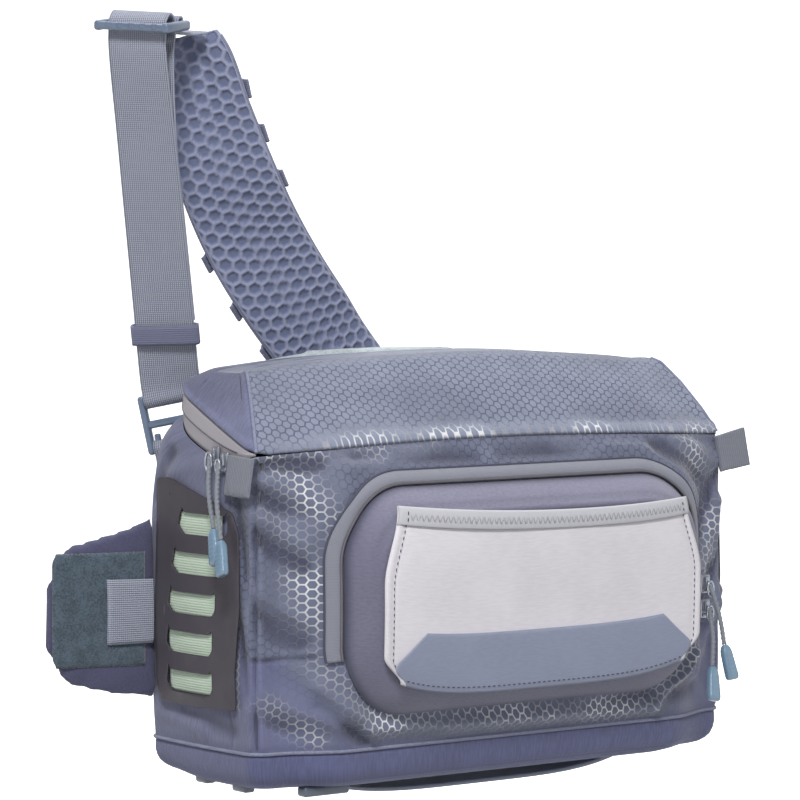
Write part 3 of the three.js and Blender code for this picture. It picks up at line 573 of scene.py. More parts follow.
def ribbon(line: Grid, across: Grid, wide: Grid, cols: int = 8) -> Cloth:
    """A flat strip along a line.

    Args:
        line: the strip's centre line.
        across: the width direction at each point.
        wide: the width at each point.
        cols: how many faces lie across it.

    Returns:
        The strip, with UV across and along it.
    """
    square = squared(across, tangents(line))
    off = np.linspace(-0.5, 0.5, cols + 1)[None, :] * np.broadcast_to(wide, (len(line),))[:, None]
    points = line[:, None, :] + square[:, None, :] * off[..., None]
    return Cloth(points, pair(off, run_lengths(line)[:, None]))


def tube(name: str, line: Grid, radius: float, finish: Material,
         sides: int = 3) -> Piece:
    """A round tube along a line, as a mesh.

    Args:
        name: the piece's name.
        line: the centre line, in millimetres.
        radius: the tube's radius.
        finish: its material.
        sides: the curve's bevel resolution.

    Returns:
        The piece.
    """
    holder = cord_curve(name + "_line", line, radius, sides)
    mesh = bpy.data.meshes.new_from_object(holder.evaluated_get(bpy.context.evaluated_depsgraph_get()))
    bpy.data.objects.remove(holder)
    mesh.name = name
    mesh.materials.clear()
    for face in mesh.polygons:
        face.use_smooth = True
    return link(name, mesh, [finish])


def cord_curve(name: str, line: Grid, radius: float, sides: int = 3) -> Piece:
    """A curve object of one open spline with a round bevel.

    Args:
        name: the object's name.
        line: the cord's centre line.
        radius: the cord's radius in millimetres.
        sides: the bevel's resolution.

    Returns:
        The curve object.
    """
    curve = bpy.data.curves.new(name, "CURVE")
    curve.dimensions = "3D"
    curve.bevel_depth = radius * MM
    curve.bevel_resolution = sides
    curve.use_fill_caps = True
    spline = curve.splines.new("POLY")
    spline.points.add(len(line) - 1)
    for point, place in zip(spline.points, DATUM.row(line)):
        point.co = (*place, 1.0)
    spline.use_smooth = True
    piece = placed(name, curve)
    bpy.context.view_layer.update()
    return piece


@dataclass
class Beads:
    """Many small like shapes along a line, joined into one mesh: stitches or a zip's coil."""

    long: float
    pitch: float
    radius: float
    form: Form = Form.DASH
    swing: float = 0.0
    flat: float = 0.7

    def piece(self, name: str, line: Grid, normal: Grid, finish: Material) -> Piece:
        """Lays the shapes along a line.

        Args:
            name: the piece's name.
            line: the line that they follow.
            normal: the direction off the surface, one or one for each point.
            finish: their material.

        Returns:
            The piece.
        """
        long = run_lengths(line)[-1]
        count = max(2, int(long / self.pitch))
        at = (np.arange(count) + 0.5) * long / count
        place, ahead, behind = read_at(line, at), read_at(line, at + 0.2), read_at(line, at - 0.2)
        normals = np.broadcast_to(normal, line.shape)
        off = np.stack([np.interp(at, run_lengths(line), normals[:, k]) for k in range(3)], 1)
        bm = bmesh.new()
        for i in range(count):
            run = Vector(ahead[i] - behind[i]).normalized()
            up = Vector(off[i])
            up = (up - run * up.dot(run)).normalized()
            if self.form is Form.ZIGZAG:
                run = (Matrix.Rotation(self.swing * (1 if i % 2 else -1), 3, up) @ run).normalized()
            side = up.cross(run)
            turn = Matrix((run, side, up)).transposed().to_4x4()
            spot = Matrix.Translation(DATUM.point(place[i]))
            size = Matrix.Diagonal((self.long / 2 * MM, self.radius * MM, self.radius * self.flat * MM, 1.0))
            bmesh.ops.create_icosphere(bm, subdivisions=1, radius=1.0, matrix=spot @ turn @ size)
        return finished(bm, name, finish)


def carried(piece: Piece, slot: str, *nodes: str) -> Piece:
    """Rides a piece on the bag, hides the frame's nodes that it stands for, and logs it.

    Args:
        piece: the piece.
        slot: not used.
        nodes: the nodes that it stands for.

    Returns:
        The same piece.
    """
    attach(piece, ROOT)
    if nodes:
        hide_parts(*nodes)
    log.info("%s, %d faces", piece.name, len(piece.data.polygons) if piece.type == "MESH" else 0)
    return piece


@dataclass
class Part:
    """A part of the bag, with the finishes by their names."""

    finishes: dict[str, Material]

    def wear(self, cloth: Cloth, name: str, finish: str, slot: str, *nodes: str, thick: float = 0.0,
             offset: float = -1.0) -> Piece:
        """Makes a piece of cloth and puts it on the bag.

        Args:
            cloth: its grid of points.
            name: the piece's name.
            finish: the name of its finish.
            slot: the slot that it wears.
            nodes: the frame's nodes that it stands for.
            thick: its thickness in millimetres, or 0 for none.
            offset: -1 to grow inwards, 0 to both sides.

        Returns:
            The piece.
        """
        return carried(cloth.piece(name, [self.finishes[finish]], thick, offset), slot, *nodes)

    def strip(self, points: Sequence, across: Sequence, wide: float, thick: float, count: int,
              *names: str) -> None:
        """Puts a strip of webbing through given places.

        Args:
            points: the places that its middle passes.
            across: its width direction at each.
            wide: its width.
            thick: its thickness.
            count: how many rows it gets.
            names: its own name, its finish, its slot and the nodes that it stands for.
        """
        run = flowing(np.hstack([np.asarray(points, dtype=float), np.asarray(across, dtype=float)]), count)
        self.wear(ribbon(run[:, :3], run[:, 3:], wide, cols=14), *names, thick=thick, offset=0.0)

    def pipe(self, line: Grid, radius: float, name: str, finish: str, slot: str, sides: int = 3) -> Piece:
        """Puts a round tube along a line."""
        return carried(tube(name, line, radius, self.finishes[finish], sides), slot)

    def cast(self, bm: bmesh.types.BMesh, name: str, finish: str, slot: str, *nodes: str) -> None:
        """Puts built geometry on the bag."""
        carried(finished(bm, name, self.finishes[finish]), slot, *nodes)


# Finishes.
class Graph:
    """A material's nodes, with a short call for each kind that the finishes use."""

    def __init__(self, name: str) -> None:
        """Starts an empty material."""
        self.material = bpy.data.materials.new(name)
        self.material.use_nodes = True
        self.tree = self.material.node_tree
        self.tree.nodes.clear()
        self.shader = self.add("ShaderNodeBsdfPrincipled")
        output = self.add("ShaderNodeOutputMaterial")
        self.join(self.shader.outputs[0], output.inputs["Surface"])

    def add(self, kind: str, **settings) -> bpy.types.Node:
        """Adds a node and sets its properties."""
        node = self.tree.nodes.new(kind)
        for key, value in settings.items():
            setattr(node, key, value)
        return node

    def join(self, source: Value, target: Socket) -> None:
        """Links a socket to an input, or sets the input to a plain value.

        Args:
            source: a socket or a plain value.
            target: the input.
        """
        if isinstance(source, Socket):
            self.tree.links.new(source, target)
        elif isinstance(source, (tuple, list)) and len(source) == 3 and target.type == "RGBA":
            target.default_value = (*source, 1.0)
        else:
            target.default_value = source

    def maths(self, operation: str, *values: Value) -> Socket:
        """One step of arithmetic."""
        node = self.add("ShaderNodeMath", operation=operation)
        for i, value in enumerate(values):
            self.join(value, node.inputs[i])
        return node.outputs[0]

    def vector(self, operation: str, *values) -> bpy.types.Node:
        """One step of vector arithmetic, as a node."""
        node = self.add("ShaderNodeVectorMath", operation=operation)
        for i, value in enumerate(values):
            self.join(value, node.inputs[i])
        return node

    def ramp(self, value: Value, low: float, high: float, start: float = 0.0, end: float = 1.0,
             soft: bool = True) -> Socket:
        """Maps low to high onto start to end, clamped.

        Args:
            value: the value to map.
            low: the value that gives start.
            high: the value that gives end.
            start: the result at low and below.
            end: the result at high and above.
            soft: whether the step is eased at both ends.

        Returns:
            The mapped value.
        """
        node = self.add("ShaderNodeMapRange", interpolation_type="SMOOTHSTEP" if soft else "LINEAR")
        for key, number in zip(("From Min", "From Max", "To Min", "To Max"), (low, high, start, end)):
            node.inputs[key].default_value = number
        self.join(value, node.inputs["Value"])
        return node.outputs[0]

    def mix(self, share: Value, first: Union[Colour, Value], second: Union[Colour, Value]) -> Socket:
        """Mixes two colours.

        Args:
            share: how much of the second colour there is.
            first: a colour.
            second: a colour.

        Returns:
            The mixed colour.
        """
        node = self.add("ShaderNodeMix", data_type="RGBA")
        self.join(share, node.inputs["Factor"])
        self.join(first, node.inputs[6])
        self.join(second, node.inputs[7])
        return node.outputs[2]

    def noise(self, place: Value, scale: float, detail: float = 2.0, stretch: Colour = (1, 1, 1)) -> Socket:
        """Noise at so many cells to the metre, stretched along the axes.

        Args:
            place: where the noise is read, in metres.
            scale: cells to the metre.
            detail: how many finer layers are added.
            stretch: factors on the axes of the place.

        Returns:
            A value from 0 to 1.
        """
        node = self.add("ShaderNodeTexNoise")
        node.inputs["Scale"].default_value = scale
        node.inputs["Detail"].default_value = detail
        self.join(self.vector("MULTIPLY", place, stretch).outputs[0], node.inputs["Vector"])
        return node.outputs[0]

    def place(self) -> Socket:
        """The piece's own coordinates, in metres."""
        return self.add("ShaderNodeTexCoord").outputs["Object"]

    def cloth(self) -> Socket:
        """The distances across and along the cloth, in metres."""
        return self.add("ShaderNodeUVMap", uv_map="weave").outputs[0]

    def mark(self, name: str) -> Socket:
        """A value that the piece holds at its points."""
        return self.add("ShaderNodeAttribute", attribute_name=name).outputs["Fac"]

    def rows(self, place: Value, axis: int, pitch: float) -> Socket:
        """Rounded rows, 0 between them and 1 on them, square to an axis."""
        split = self.add("ShaderNodeSeparateXYZ")
        self.join(place, split.inputs[0])
        turn = self.maths("MULTIPLY", split.outputs[axis], math.pi / pitch)
        return self.maths("ABSOLUTE", self.maths("SINE", turn))

    def hexagons(self, place: Value, pitch: float) -> Socket:
        """The distance to the nearest side of a honeycomb, 0 on it and 0.5 in a cell's middle.

        Args:
            place: where the pattern is read, in metres.
            pitch: the distance between cells, in metres, up and down.

        Returns:
            The distance, as a share of the pitch.
        """
        split = self.add("ShaderNodeSeparateXYZ")
        self.join(place, split.inputs[0])
        flat = self.add("ShaderNodeCombineXYZ")
        self.join(self.maths("DIVIDE", split.outputs[1], pitch), flat.inputs[0])
        self.join(self.maths("DIVIDE", split.outputs[0], pitch), flat.inputs[1])
        step, half = (1.0, math.sqrt(3), 1.0), (0.5, math.sqrt(3) / 2, 0.0)
        corners = []
        for shift in ((0.0, 0.0, 0.0), half):
            moved = self.vector("DIVIDE", self.vector("SUBTRACT", flat.outputs[0], shift).outputs[0], step)
            cell = self.vector("MULTIPLY", self.vector("FRACTION", moved.outputs[0]).outputs[0], step)
            corners.append(self.vector("SUBTRACT", cell.outputs[0], half).outputs[0])
        first, second = (self.vector("LENGTH", corner).outputs[1] for corner in corners)
        nearer = self.maths("LESS_THAN", first, second)
        gap = self.vector("SUBTRACT", corners[0], corners[1]).outputs[0]
        scaled = self.add("ShaderNodeVectorMath", operation="SCALE")
        self.join(gap, scaled.inputs[0])
        self.join(nearer, scaled.inputs[3])
        nearest = self.vector("ADD", corners[1], scaled.outputs[0]).outputs[0]
        local = self.vector("ABSOLUTE", nearest).outputs[0]
        slant = self.vector("DOT_PRODUCT", local, (0.5, math.sqrt(3) / 2, 0.0)).outputs[1]
        inner = self.add("ShaderNodeSeparateXYZ")
        self.join(local, inner.inputs[0])
        return self.maths("SUBTRACT", 0.5, self.maths("MAXIMUM", slant, inner.outputs[0]))

    def bump(self, height: Value, depth: float, strength: float = 1.0) -> None:
        """Raises the surface by a height from 0 to 1 times a depth in metres.

        Args:
            height: the height, from 0 to 1.
            depth: the depth in metres.
            strength: how strongly the bump shows.
        """
        node = self.add("ShaderNodeBump")
        node.inputs["Strength"].default_value = strength
        node.inputs["Distance"].default_value = depth
        self.join(height, node.inputs["Height"])
        self.join(node.outputs[0], self.shader.inputs["Normal"])

    def shaded(self, colour: Value) -> Socket:
        """Paints shade: darkens a colour towards a dark blue where the piece's points carry the shade mark,
        as painted shade in folds, seams and recesses.
        """
        return self.mix(self.maths("MULTIPLY", self.mark("shade"), 0.8), colour, srgb(46, 48, 72))

    def surface(self, colour: Union[Colour, Value], rough: Value, **settings: float) -> Material:
        """Sets the shader's colour, roughness and plain values, and gives the material.

        Args:
            colour: the base colour.
            rough: the roughness.
            settings: plain values by the inputs' names.

        Returns:
            The material.
        """
        self.join(colour, self.shader.inputs["Base Color"])
        self.join(rough, self.shader.inputs["Roughness"])
        for key, value in settings.items():
            self.shader.inputs[key.replace("_", " ")].default_value = value
        return self.material


@dataclass(frozen=True)
class HexWeave:
    """Cloth with a honeycomb of raised shiny yarn on a matte ground, its lines painted pale as a painted
    glint where the piece's points are marked, and darkened by painted shade.
    """

    name: str
    cell: Colour
    line: Colour
    glint: Colour
    pitch: float = 5.5
    line_wide: float = 0.085
    plain: Colour = srgb(98, 101, 134)

    def make(self) -> Material:
        """Builds the material."""
        graph = Graph(self.name)
        place = graph.cloth()
        wander = graph.noise(place, 60.0, 1.0)
        edge = graph.hexagons(place, self.pitch * MM)
        line = graph.ramp(edge, self.line_wide * 0.45, self.line_wide * 1.5, 1.0, 0.0)
        yarn = graph.maths("MULTIPLY", graph.rows(place, 0, 0.00055), graph.rows(place, 1, 0.00055))
        # Painted glint: the lines are painted towards a pale colour where the piece's points carry the glint
        # mark, broken into noise patches.
        patches = graph.ramp(graph.noise(place, 22.0, 2.0), 0.42, 0.62)
        painted_glint_share = graph.maths("MULTIPLY", graph.mark("glint"), graph.maths("ADD", 0.35, patches))
        painted_glint_level = graph.maths("MINIMUM", graph.maths("MULTIPLY", painted_glint_share, 1.15), 1.0)
        painted_glint_line = graph.mix(painted_glint_level, self.line, self.glint)
        ground = graph.mix(graph.ramp(wander, 0.3, 0.7), tinted(self.cell, 0.88), self.cell)
        speckle = graph.mix(graph.maths("MULTIPLY", yarn, 0.25), ground, tinted(self.cell, 0.6))
        faded = graph.mark("faded")
        line = graph.maths("MULTIPLY", line, graph.ramp(faded, 0.0, 1.0, 1.0, 0.25))
        # Painted shade from the piece's shade mark darkens the mixed colour.
        colour = graph.shaded(graph.mix(line, graph.mix(faded, speckle, self.plain), painted_glint_line))
        height = graph.maths("ADD", graph.maths("MULTIPLY", line, 0.7), graph.maths("MULTIPLY", yarn, 0.3))
        graph.bump(height, 0.00035, 0.8)
        rough = graph.ramp(line, 0.0, 1.0, 0.74, 0.36)
        return graph.surface(colour, rough, Sheen_Weight=0.25, Sheen_Roughness=0.5)


@dataclass(frozen=True)
class PlainWeave:
    """Plain woven cloth with a light melange."""

    name: str
    colour: Colour
    shade: float = 0.72
    pitch: float = 0.5
    streak: Colour = (1.0, 0.15, 1.0)
    depth: float = 0.00018
    rough: float = 0.82
    by_place: bool = False

    def make(self) -> Material:
        """Builds the material."""
        graph = Graph(self.name)
        place = graph.place() if self.by_place else graph.cloth()
        rise = 2 if self.by_place else 1
        pitch = self.pitch * MM
        yarn = graph.maths("MULTIPLY", graph.rows(place, 0, pitch), graph.rows(place, rise, pitch))
        melange = graph.noise(place, 800.0, 3.0, self.streak)
        patches = graph.noise(place, 25.0, 2.0)
        dark = tinted(self.colour, self.shade)
        toned = graph.mix(graph.ramp(melange, 0.32, 0.68), dark, self.colour)
        pale = tinted(self.colour, 1.15)
        # Painted shade from the piece's shade mark darkens the cloth's colour.
        colour = graph.shaded(graph.mix(graph.ramp(patches, 0.35, 0.75, 0.0, 0.35), toned, pale))
        graph.bump(graph.maths("ADD", yarn, graph.maths("MULTIPLY", melange, 0.5)), self.depth, 0.8)
        return graph.surface(colour, self.rough, Sheen_Weight=0.2, Sheen_Roughness=0.5)


@dataclass(frozen=True)
class Webbing:
    """Narrow webbing with ribs along it and a finer beat across."""

    name: str
    colour: Colour
    rib: float = 1.3
    beat: float = 0.9
    dark: float = 0.55
    depth: float = 0.0005
    along: bool = True

    def make(self) -> Material:
        """Builds the material."""
        graph = Graph(self.name)
        place = graph.cloth()
        ribs = graph.rows(place, 0 if self.along else 1, self.rib * MM)
        beats = graph.rows(place, 1 if self.along else 0, self.beat * MM)
        weave = graph.maths("MULTIPLY", graph.ramp(ribs, 0.0, 0.75), graph.ramp(beats, 0.0, 0.8, 0.55, 1.0))
        worn = graph.noise(place, 120.0, 3.0)
        low = tinted(self.colour, self.dark)
        colour = graph.mix(weave, low, graph.mix(worn, tinted(self.colour, 0.9), self.colour))
        graph.bump(weave, self.depth, 0.9)
        return graph.surface(colour, 0.72, Sheen_Weight=0.15)


@dataclass(frozen=True)
class CellMesh:
    """Open spacer mesh: ribs round hexagonal cells whose floor is darker."""

    name: str
    rib: Colour
    floor: Colour
    depth: float = 0.0005

    def make(self) -> Material:
        """Builds the material."""
        graph = Graph(self.name)
        place = graph.cloth()
        cell = graph.mark("cell")
        yarn = graph.noise(place, 1600.0, 2.0)
        rib = graph.mix(graph.ramp(yarn, 0.3, 0.7), tinted(self.rib, 0.82), self.rib)
        floor = graph.mix(graph.ramp(yarn, 0.35, 0.65), tinted(self.floor, 0.75), self.floor)
        colour = graph.mix(cell, rib, floor)
        height = graph.maths("SUBTRACT", graph.maths("MULTIPLY", yarn, 0.25), cell)
        graph.bump(height, self.depth, 0.7)
        return graph.surface(colour, 0.85, Sheen_Weight=0.3)


@dataclass(frozen=True)
class Pile:
    """Fuzzy pile, as on a loop patch or brushed lining."""

    name: str
    colour: Colour
    dark: float = 0.45
    scale: float = 900.0
    depth: float = 0.0012

    def make(self) -> Material:
        """Builds the material."""
        graph = Graph(self.name)
        place = graph.place()
        curls = graph.noise(place, self.scale, 5.0)
        clumps = graph.noise(place, self.scale / 6, 3.0)
        both = graph.maths("ADD", graph.maths("MULTIPLY", curls, 0.65), graph.maths("MULTIPLY", clumps, 0.35))
        colour = graph.mix(graph.ramp(both, 0.36, 0.62), tinted(self.colour, self.dark), self.colour)
        graph.bump(both, self.depth, 1.0)
        return graph.surface(colour, 0.95, Sheen_Weight=0.5)


@dataclass(frozen=True)
class Moulded:
    """Plastic, rubber or metal with a fine grain."""

    name: str
    colour: Colour
    rough: float = 0.45
    metal: float = 0.0
    soft: float = 0.0
    grain: float = 0.00006
    scale: float = 900.0
    spread: float = 0.12

    def make(self) -> Material:
        """Builds the material."""
        graph = Graph(self.name)
        place = graph.place()
        grain = graph.noise(place, self.scale, 3.0)
        worn = graph.noise(place, 90.0, 3.0)
        colour = graph.mix(graph.ramp(worn, 0.3, 0.7), tinted(self.colour, (1 - self.spread)), self.colour)
        graph.bump(grain, self.grain, 0.6)
        material = graph.surface(colour, graph.ramp(worn, 0.2, 0.8, self.rough - 0.06, self.rough + 0.08),
                                 Metallic=self.metal)
        if self.soft:
            graph.shader.inputs["Subsurface Weight"].default_value = self.soft
            graph.shader.inputs["Subsurface Radius"].default_value = (0.004, 0.004, 0.004)
            graph.shader.inputs["Coat Weight"].default_value = 0.15
        return material


# The honeycomb's dark line colour, and the pale colour of the painted glints on the lines.
HEX_LINE, PAINTED_GLINT = srgb(64, 68, 96), srgb(216, 217, 220)
FINISHES = (
    HexWeave("hex_body", srgb(103, 109, 132), HEX_LINE, PAINTED_GLINT),
    HexWeave("hex_lid", srgb(129, 136, 157), srgb(66, 71, 100), PAINTED_GLINT),
    PlainWeave("plain_cloth", srgb(110, 113, 143)),
    PlainWeave("base_cloth", srgb(92, 96, 134)),
    PlainWeave("moulded_cloth", srgb(125, 124, 146), shade=0.84, streak=(0.5, 1.0, 1.0)),
    PlainWeave("piping", srgb(134, 138, 164), by_place=True),
    Webbing("underside_webbing", srgb(150, 158, 178), rib=1.6, beat=1.0, dark=0.75),
    Webbing("zip_tape", srgb(168, 163, 170), rib=0.8, beat=0.5, dark=0.86, depth=0.00012),
    Webbing("pocket_tape", srgb(140, 142, 155), rib=0.9, beat=0.5, dark=0.72, depth=0.0002, along=False),
    PlainWeave("slip_cloth", srgb(222, 218, 224), shade=0.93, streak=(0.15, 1.0, 1.0), pitch=0.6,
               depth=0.00012),
    Webbing("binding", srgb(200, 200, 206), rib=1.0, beat=0.6, dark=0.9, depth=0.00015),
    PlainWeave("patch_cloth", srgb(142, 149, 172), shade=0.93, streak=(0.2, 1.0, 1.0)),
    PlainWeave("wing_cloth", srgb(74, 74, 104), shade=0.75, by_place=True),
    Pile("back_mesh", srgb(196, 206, 210), dark=0.72, depth=0.0008),
    Pile("loop_pile", srgb(78, 94, 108)),
    Moulded("panel_sheet", srgb(54, 50, 58), rough=0.66, spread=0.08),
    Webbing("mint_webbing", srgb(198, 216, 196), rib=1.6, beat=0.8, dark=0.88, depth=0.0003),
    Webbing("strap_webbing", srgb(165, 170, 188), rib=1.3, beat=1.3, dark=0.3),
    Webbing("tab_webbing", srgb(140, 144, 157), rib=1.7, beat=0.6, dark=0.62, along=True),
    Webbing("cross_webbing", srgb(118, 122, 150), rib=1.4, beat=0.8, dark=0.7),
    CellMesh("strap_mesh", srgb(150, 155, 182), srgb(108, 117, 148)),
    Moulded("buckle_plastic", srgb(98, 113, 136), rough=0.34),
    Moulded("buckle_dark", srgb(78, 86, 100), rough=0.4),
    Moulded("slider_metal", srgb(150, 154, 164), rough=0.34, metal=0.75),
    Webbing("pull_cord", srgb(150, 156, 166), rib=1.2, beat=1.0, dark=0.6),
    Moulded("grip_rubber", srgb(114, 140, 162), rough=0.3, soft=0.2, spread=0.05),
    Moulded("thread", srgb(64, 66, 84), rough=0.7),
    Moulded("pale_thread", srgb(176, 176, 182), rough=0.7),
    Moulded("zip_coil", srgb(92, 90, 98), rough=0.5),
)


# Main shell.
@dataclass(frozen=True)
class Fold:
    """A soft ridge or hollow in cloth, from one place on its panel to another."""

    from_x: float
    from_z: float
    to_x: float
    to_z: float
    wide: float
    lift: float

    def at(self, across: Grid, up: Grid) -> Grid:
        """The fold's height at places on the panel.

        Args:
            across: places across the panel.
            up: heights.

        Returns:
            The height in millimetres at each place.
        """
        dx, dz = self.to_x - self.from_x, self.to_z - self.from_z
        x, z = across - self.from_x, up - self.from_z
        t = np.clip((x * dx + z * dz) / (dx * dx + dz * dz), 0.0, 1.0)
        away = np.hypot(x - t * dx, z - t * dz)
        return self.lift * ridge(away, self.wide)


def summed(folds: Sequence[Fold], across: Grid, up: Grid) -> Grid:
    """The heights of several folds together."""
    return sum((fold.at(across, up) for fold in folds), np.zeros(np.broadcast(across, up).shape))


FRONT_FOLDS = (
    Fold(-182, 198, -148, 201, 6.0, -2.2), Fold(-176, 190, -140, 160, 7.0, 2.4),
    Fold(-184, 181, -152, 168, 6.5, -2.4), Fold(-182, 168, -150, 146, 6.0, 2.0),
    Fold(-184, 156, -158, 138, 5.5, -1.8), Fold(-120, 203, -30, 197, 6.0, -1.6),
    Fold(-128, 196, -70, 206, 6.0, 1.5), Fold(-10, 198, 70, 202, 6.5, -1.3),
    Fold(40, 206, 110, 196, 6.0, 1.3), Fold(-182, 122, -158, 104, 7.0, 1.6),
    Fold(-184, 108, -160, 92, 6.5, -1.6), Fold(120, 203, 165, 176, 7.0, -2.2),
    Fold(138, 206, 178, 186, 6.0, 2.2), Fold(182, 178, 160, 140, 6.5, -2.0),
    Fold(184, 160, 166, 120, 6.0, 1.8), Fold(184, 120, 164, 84, 6.5, -2.0),
    Fold(-150, 64, -118, 37, 4.5, 2.6), Fold(-118, 37, 110, 33, 4.5, 2.4),
    Fold(110, 34, 146, 66, 4.5, 2.6), Fold(-152, 52, -118, 27, 3.0, -1.4),
    Fold(186, 100, 150, 52, 6.5, 2.0), Fold(-186, 60, -140, 42, 7.0, 1.6),
    Fold(-184, 44, -120, 34, 6.0, -1.3), Fold(-60, 33, 40, 37, 6.0, 1.2),
    Fold(70, 36, 150, 44, 6.5, -1.5),
)
# Where painted glints brighten the honeycomb's lines on the front, along its folds.
PAINTED_GLINTS = (
    Fold(-176, 200, -140, 158, 11.0, 0.9), Fold(-178, 170, -148, 132, 9.0, 0.75),
    Fold(-160, 128, -150, 104, 9.0, 0.45), Fold(-150, 78, -120, 46, 9.0, 0.95),
    Fold(-118, 42, 110, 36, 7.0, 0.85), Fold(110, 40, 142, 66, 8.0, 0.8),
    Fold(-176, 52, -150, 34, 9.0, 0.6), Fold(150, 196, 176, 150, 9.0, 0.6),
    Fold(172, 140, 168, 96, 7.0, 0.4), Fold(-150, 206, -60, 206, 7.0, 0.35),
)
PATCHES = (
    Fold(-156, 78, -118, 40, 13.0, 1.1), Fold(-118, 38, 112, 34, 9.0, 1.2),
    Fold(112, 36, 146, 70, 11.0, 1.2), Fold(-178, 54, -146, 32, 9.0, 0.7),
    Fold(-90, 30, 150, 32, 5.0, 0.5),
)
SIDE_FOLDS = (
    Fold(100, 190, 60, 198, 7.0, 1.4), Fold(112, 176, 96, 202, 6.0, -1.6),
    Fold(26, 178, 18, 130, 4.0, -1.6), Fold(24, 150, 14, 90, 3.5, 1.3),
    Fold(22, 100, 14, 60, 4.0, -1.3), Fold(110, 40, 60, 34, 6.0, 1.1),
    Fold(80, 44, 30, 36, 5.0, -1.0),
)


@dataclass
class Shell(Part):
    """The body's walls, base, lid and the seams between them."""

    columns: int = 540
    rows: int = 132
    strip_y: float = 32.0
    front_seam: float = 84.0
    lid_rise: float = 50.0
    crest_front: float = 0.46
    crest_back: float = 0.84
    end_inset: float = 22.0
    end_drop: float = 9.0
    base_inset: float = 16.0

    def build(self) -> None:
        """Builds the walls, the base, the lid and the piping."""
        self.walls()
        self.base()
        self.lid()
        self.piping()

    def along(self, count: int) -> Grid:
        """Distances round the body, closer together round its corners."""
        share = np.linspace(0.0, WALL_ENDS[-1], count)
        corners = [wall for wall in WALLS if "CORNER" in wall.name]
        extra = [wall_start(wall) + np.linspace(1, wall.value - 1, 8) for wall in corners]
        return np.unique(np.concatenate([share, WALL_ENDS, *extra]))

    def place(self, along: Grid, level: Grid) -> Grid:
        """Points on the walls before their folds."""
        ring = BODY.section(level)
        x, y = plan_point(ring, along)
        z = blend(BODY.seam, BODY.rim(x, y), level)
        return stack(x, y, z)

    def relief(self, points: Grid, along: Grid) -> Grid:
        """How far the cloth stands off the plain form, from its folds, seams and slack.

        Args:
            points: the points on the plain form.
            along: their distances round the body.

        Returns:
            The distance outwards at each point.
        """
        x, y, z = points[..., 0], points[..., 1], points[..., 2]
        front = np.abs(along - (wall_start(Wall.FRONT) + Wall.FRONT.value / 2)) < Wall.FRONT.value / 2 + 12
        side = (along > wall_start(Wall.LEFT) - 6) & (along < wall_start(Wall.LEFT) + Wall.LEFT.value + 10)
        other = (along > wall_start(Wall.RIGHT)) & (along < wall_start(Wall.RIGHT) + Wall.RIGHT.value + 6)
        lift = np.where(front, 1.75 * summed(FRONT_FOLDS, x, z), 0.0)
        lift += np.where(side | other, 1.4 * summed(SIDE_FOLDS, y, z), 0.0)
        seam_left, seam_right = CORNER_SEAMS
        for seam in (seam_left, seam_right):
            off = np.abs(along - seam)
            lift += 1.5 * ridge(off - 3.4, 2.2) - 2.0 * ridge(off, 1.3)
        strip = (np.abs(y - self.strip_y) < 5) & (side | other)
        lift += np.where(strip, -0.7 * ridge(y - self.strip_y, 1.0), 0.0)
        cut = front & (np.abs(x) > 118)
        line = self.front_seam + 3.5 * np.cos(along / 31.0)
        groove = 1.2 * ridge(z - line - 3.4, 2.2) - 1.5 * ridge(z - line, 1.3)
        lift += np.where(cut, groove, 0.0)
        slack = 0.5 * np.sin(along / 17.0 + z / 23.0) * np.sin(z / 19.0 - along / 41.0)
        crumple = np.sin(along / 4.3 + z / 3.1 + 2 * np.sin(z / 17))
        slack += 0.5 * crumple * smooth((np.abs(x) - 140) / 25) * front
        lift += slack * smooth((z - 26) / 14) * smooth((BODY.rim(x, y) - z) / 14)
        wide, tall, centre = 152 - 56, 75 - 56, 121
        dx, dz = np.abs(x) - wide, np.abs(z - centre) - tall
        outside = np.hypot(np.maximum(dx, 0), np.maximum(dz, 0)) + np.minimum(np.maximum(dx, dz), 0) - 56
        calm = np.where(front & (z > 40), smooth((outside + 1) / 7), 1.0)
        return np.where(lift > -0.4, blend(-0.4, lift, calm), lift * blend(0.4, 1.0, calm))

    def walls(self) -> None:
        """The walls: honeycomb cloth in front and round the corners, plain elsewhere, with painted glints on
        the honeycomb's lines and painted shade in folds, along the lower seam and under the lid's rim.
        """
        along = self.along(self.columns)
        level = np.linspace(0, 1, self.rows + 1)[:, None]
        flat = self.place(along[None, :], level)
        span = np.broadcast_to(along[None, :], flat.shape[:2])
        lift = self.relief(flat, span)
        rim = smooth((1 - level) / 0.035) * smooth(level / 0.02)
        points = flat + normals_of(flat) * (lift * rim)[..., None]
        uv = np.stack([span, flat[..., 2]], -1)
        middle = (along[:-1] + along[1:]) / 2
        heights = (flat[:-1, :-1, 2] + flat[1:, :-1, 2]) / 2
        deep = (flat[:-1, :-1, 1] + flat[:-1, 1:, 1]) / 2
        front = (middle > CORNER_SEAMS[0]) & (middle < CORNER_SEAMS[1])
        strip = (deep < self.strip_y) & ~front[None, :] & (heights > 50)
        zones = np.where(front[None, :] | strip, 0, 1)
        x, z = flat[..., 0], flat[..., 2]
        ahead = flat[..., 1] < 22
        # Painted glint: on the front's lines along its folds, and a steady paler glint on the lines round the
        # ends.
        glint = np.clip((summed(PAINTED_GLINTS, x, z) + 0.06) * ahead + 0.45 * ~ahead, 0, 1)
        line = self.front_seam + 3.5 * np.cos(span / 31.0)
        below = smooth((line - z) / 1.6 + 0.5) * ahead
        open_patch = np.clip(summed(PATCHES, x, z), 0, 1)
        faded = below * (1 - open_patch)
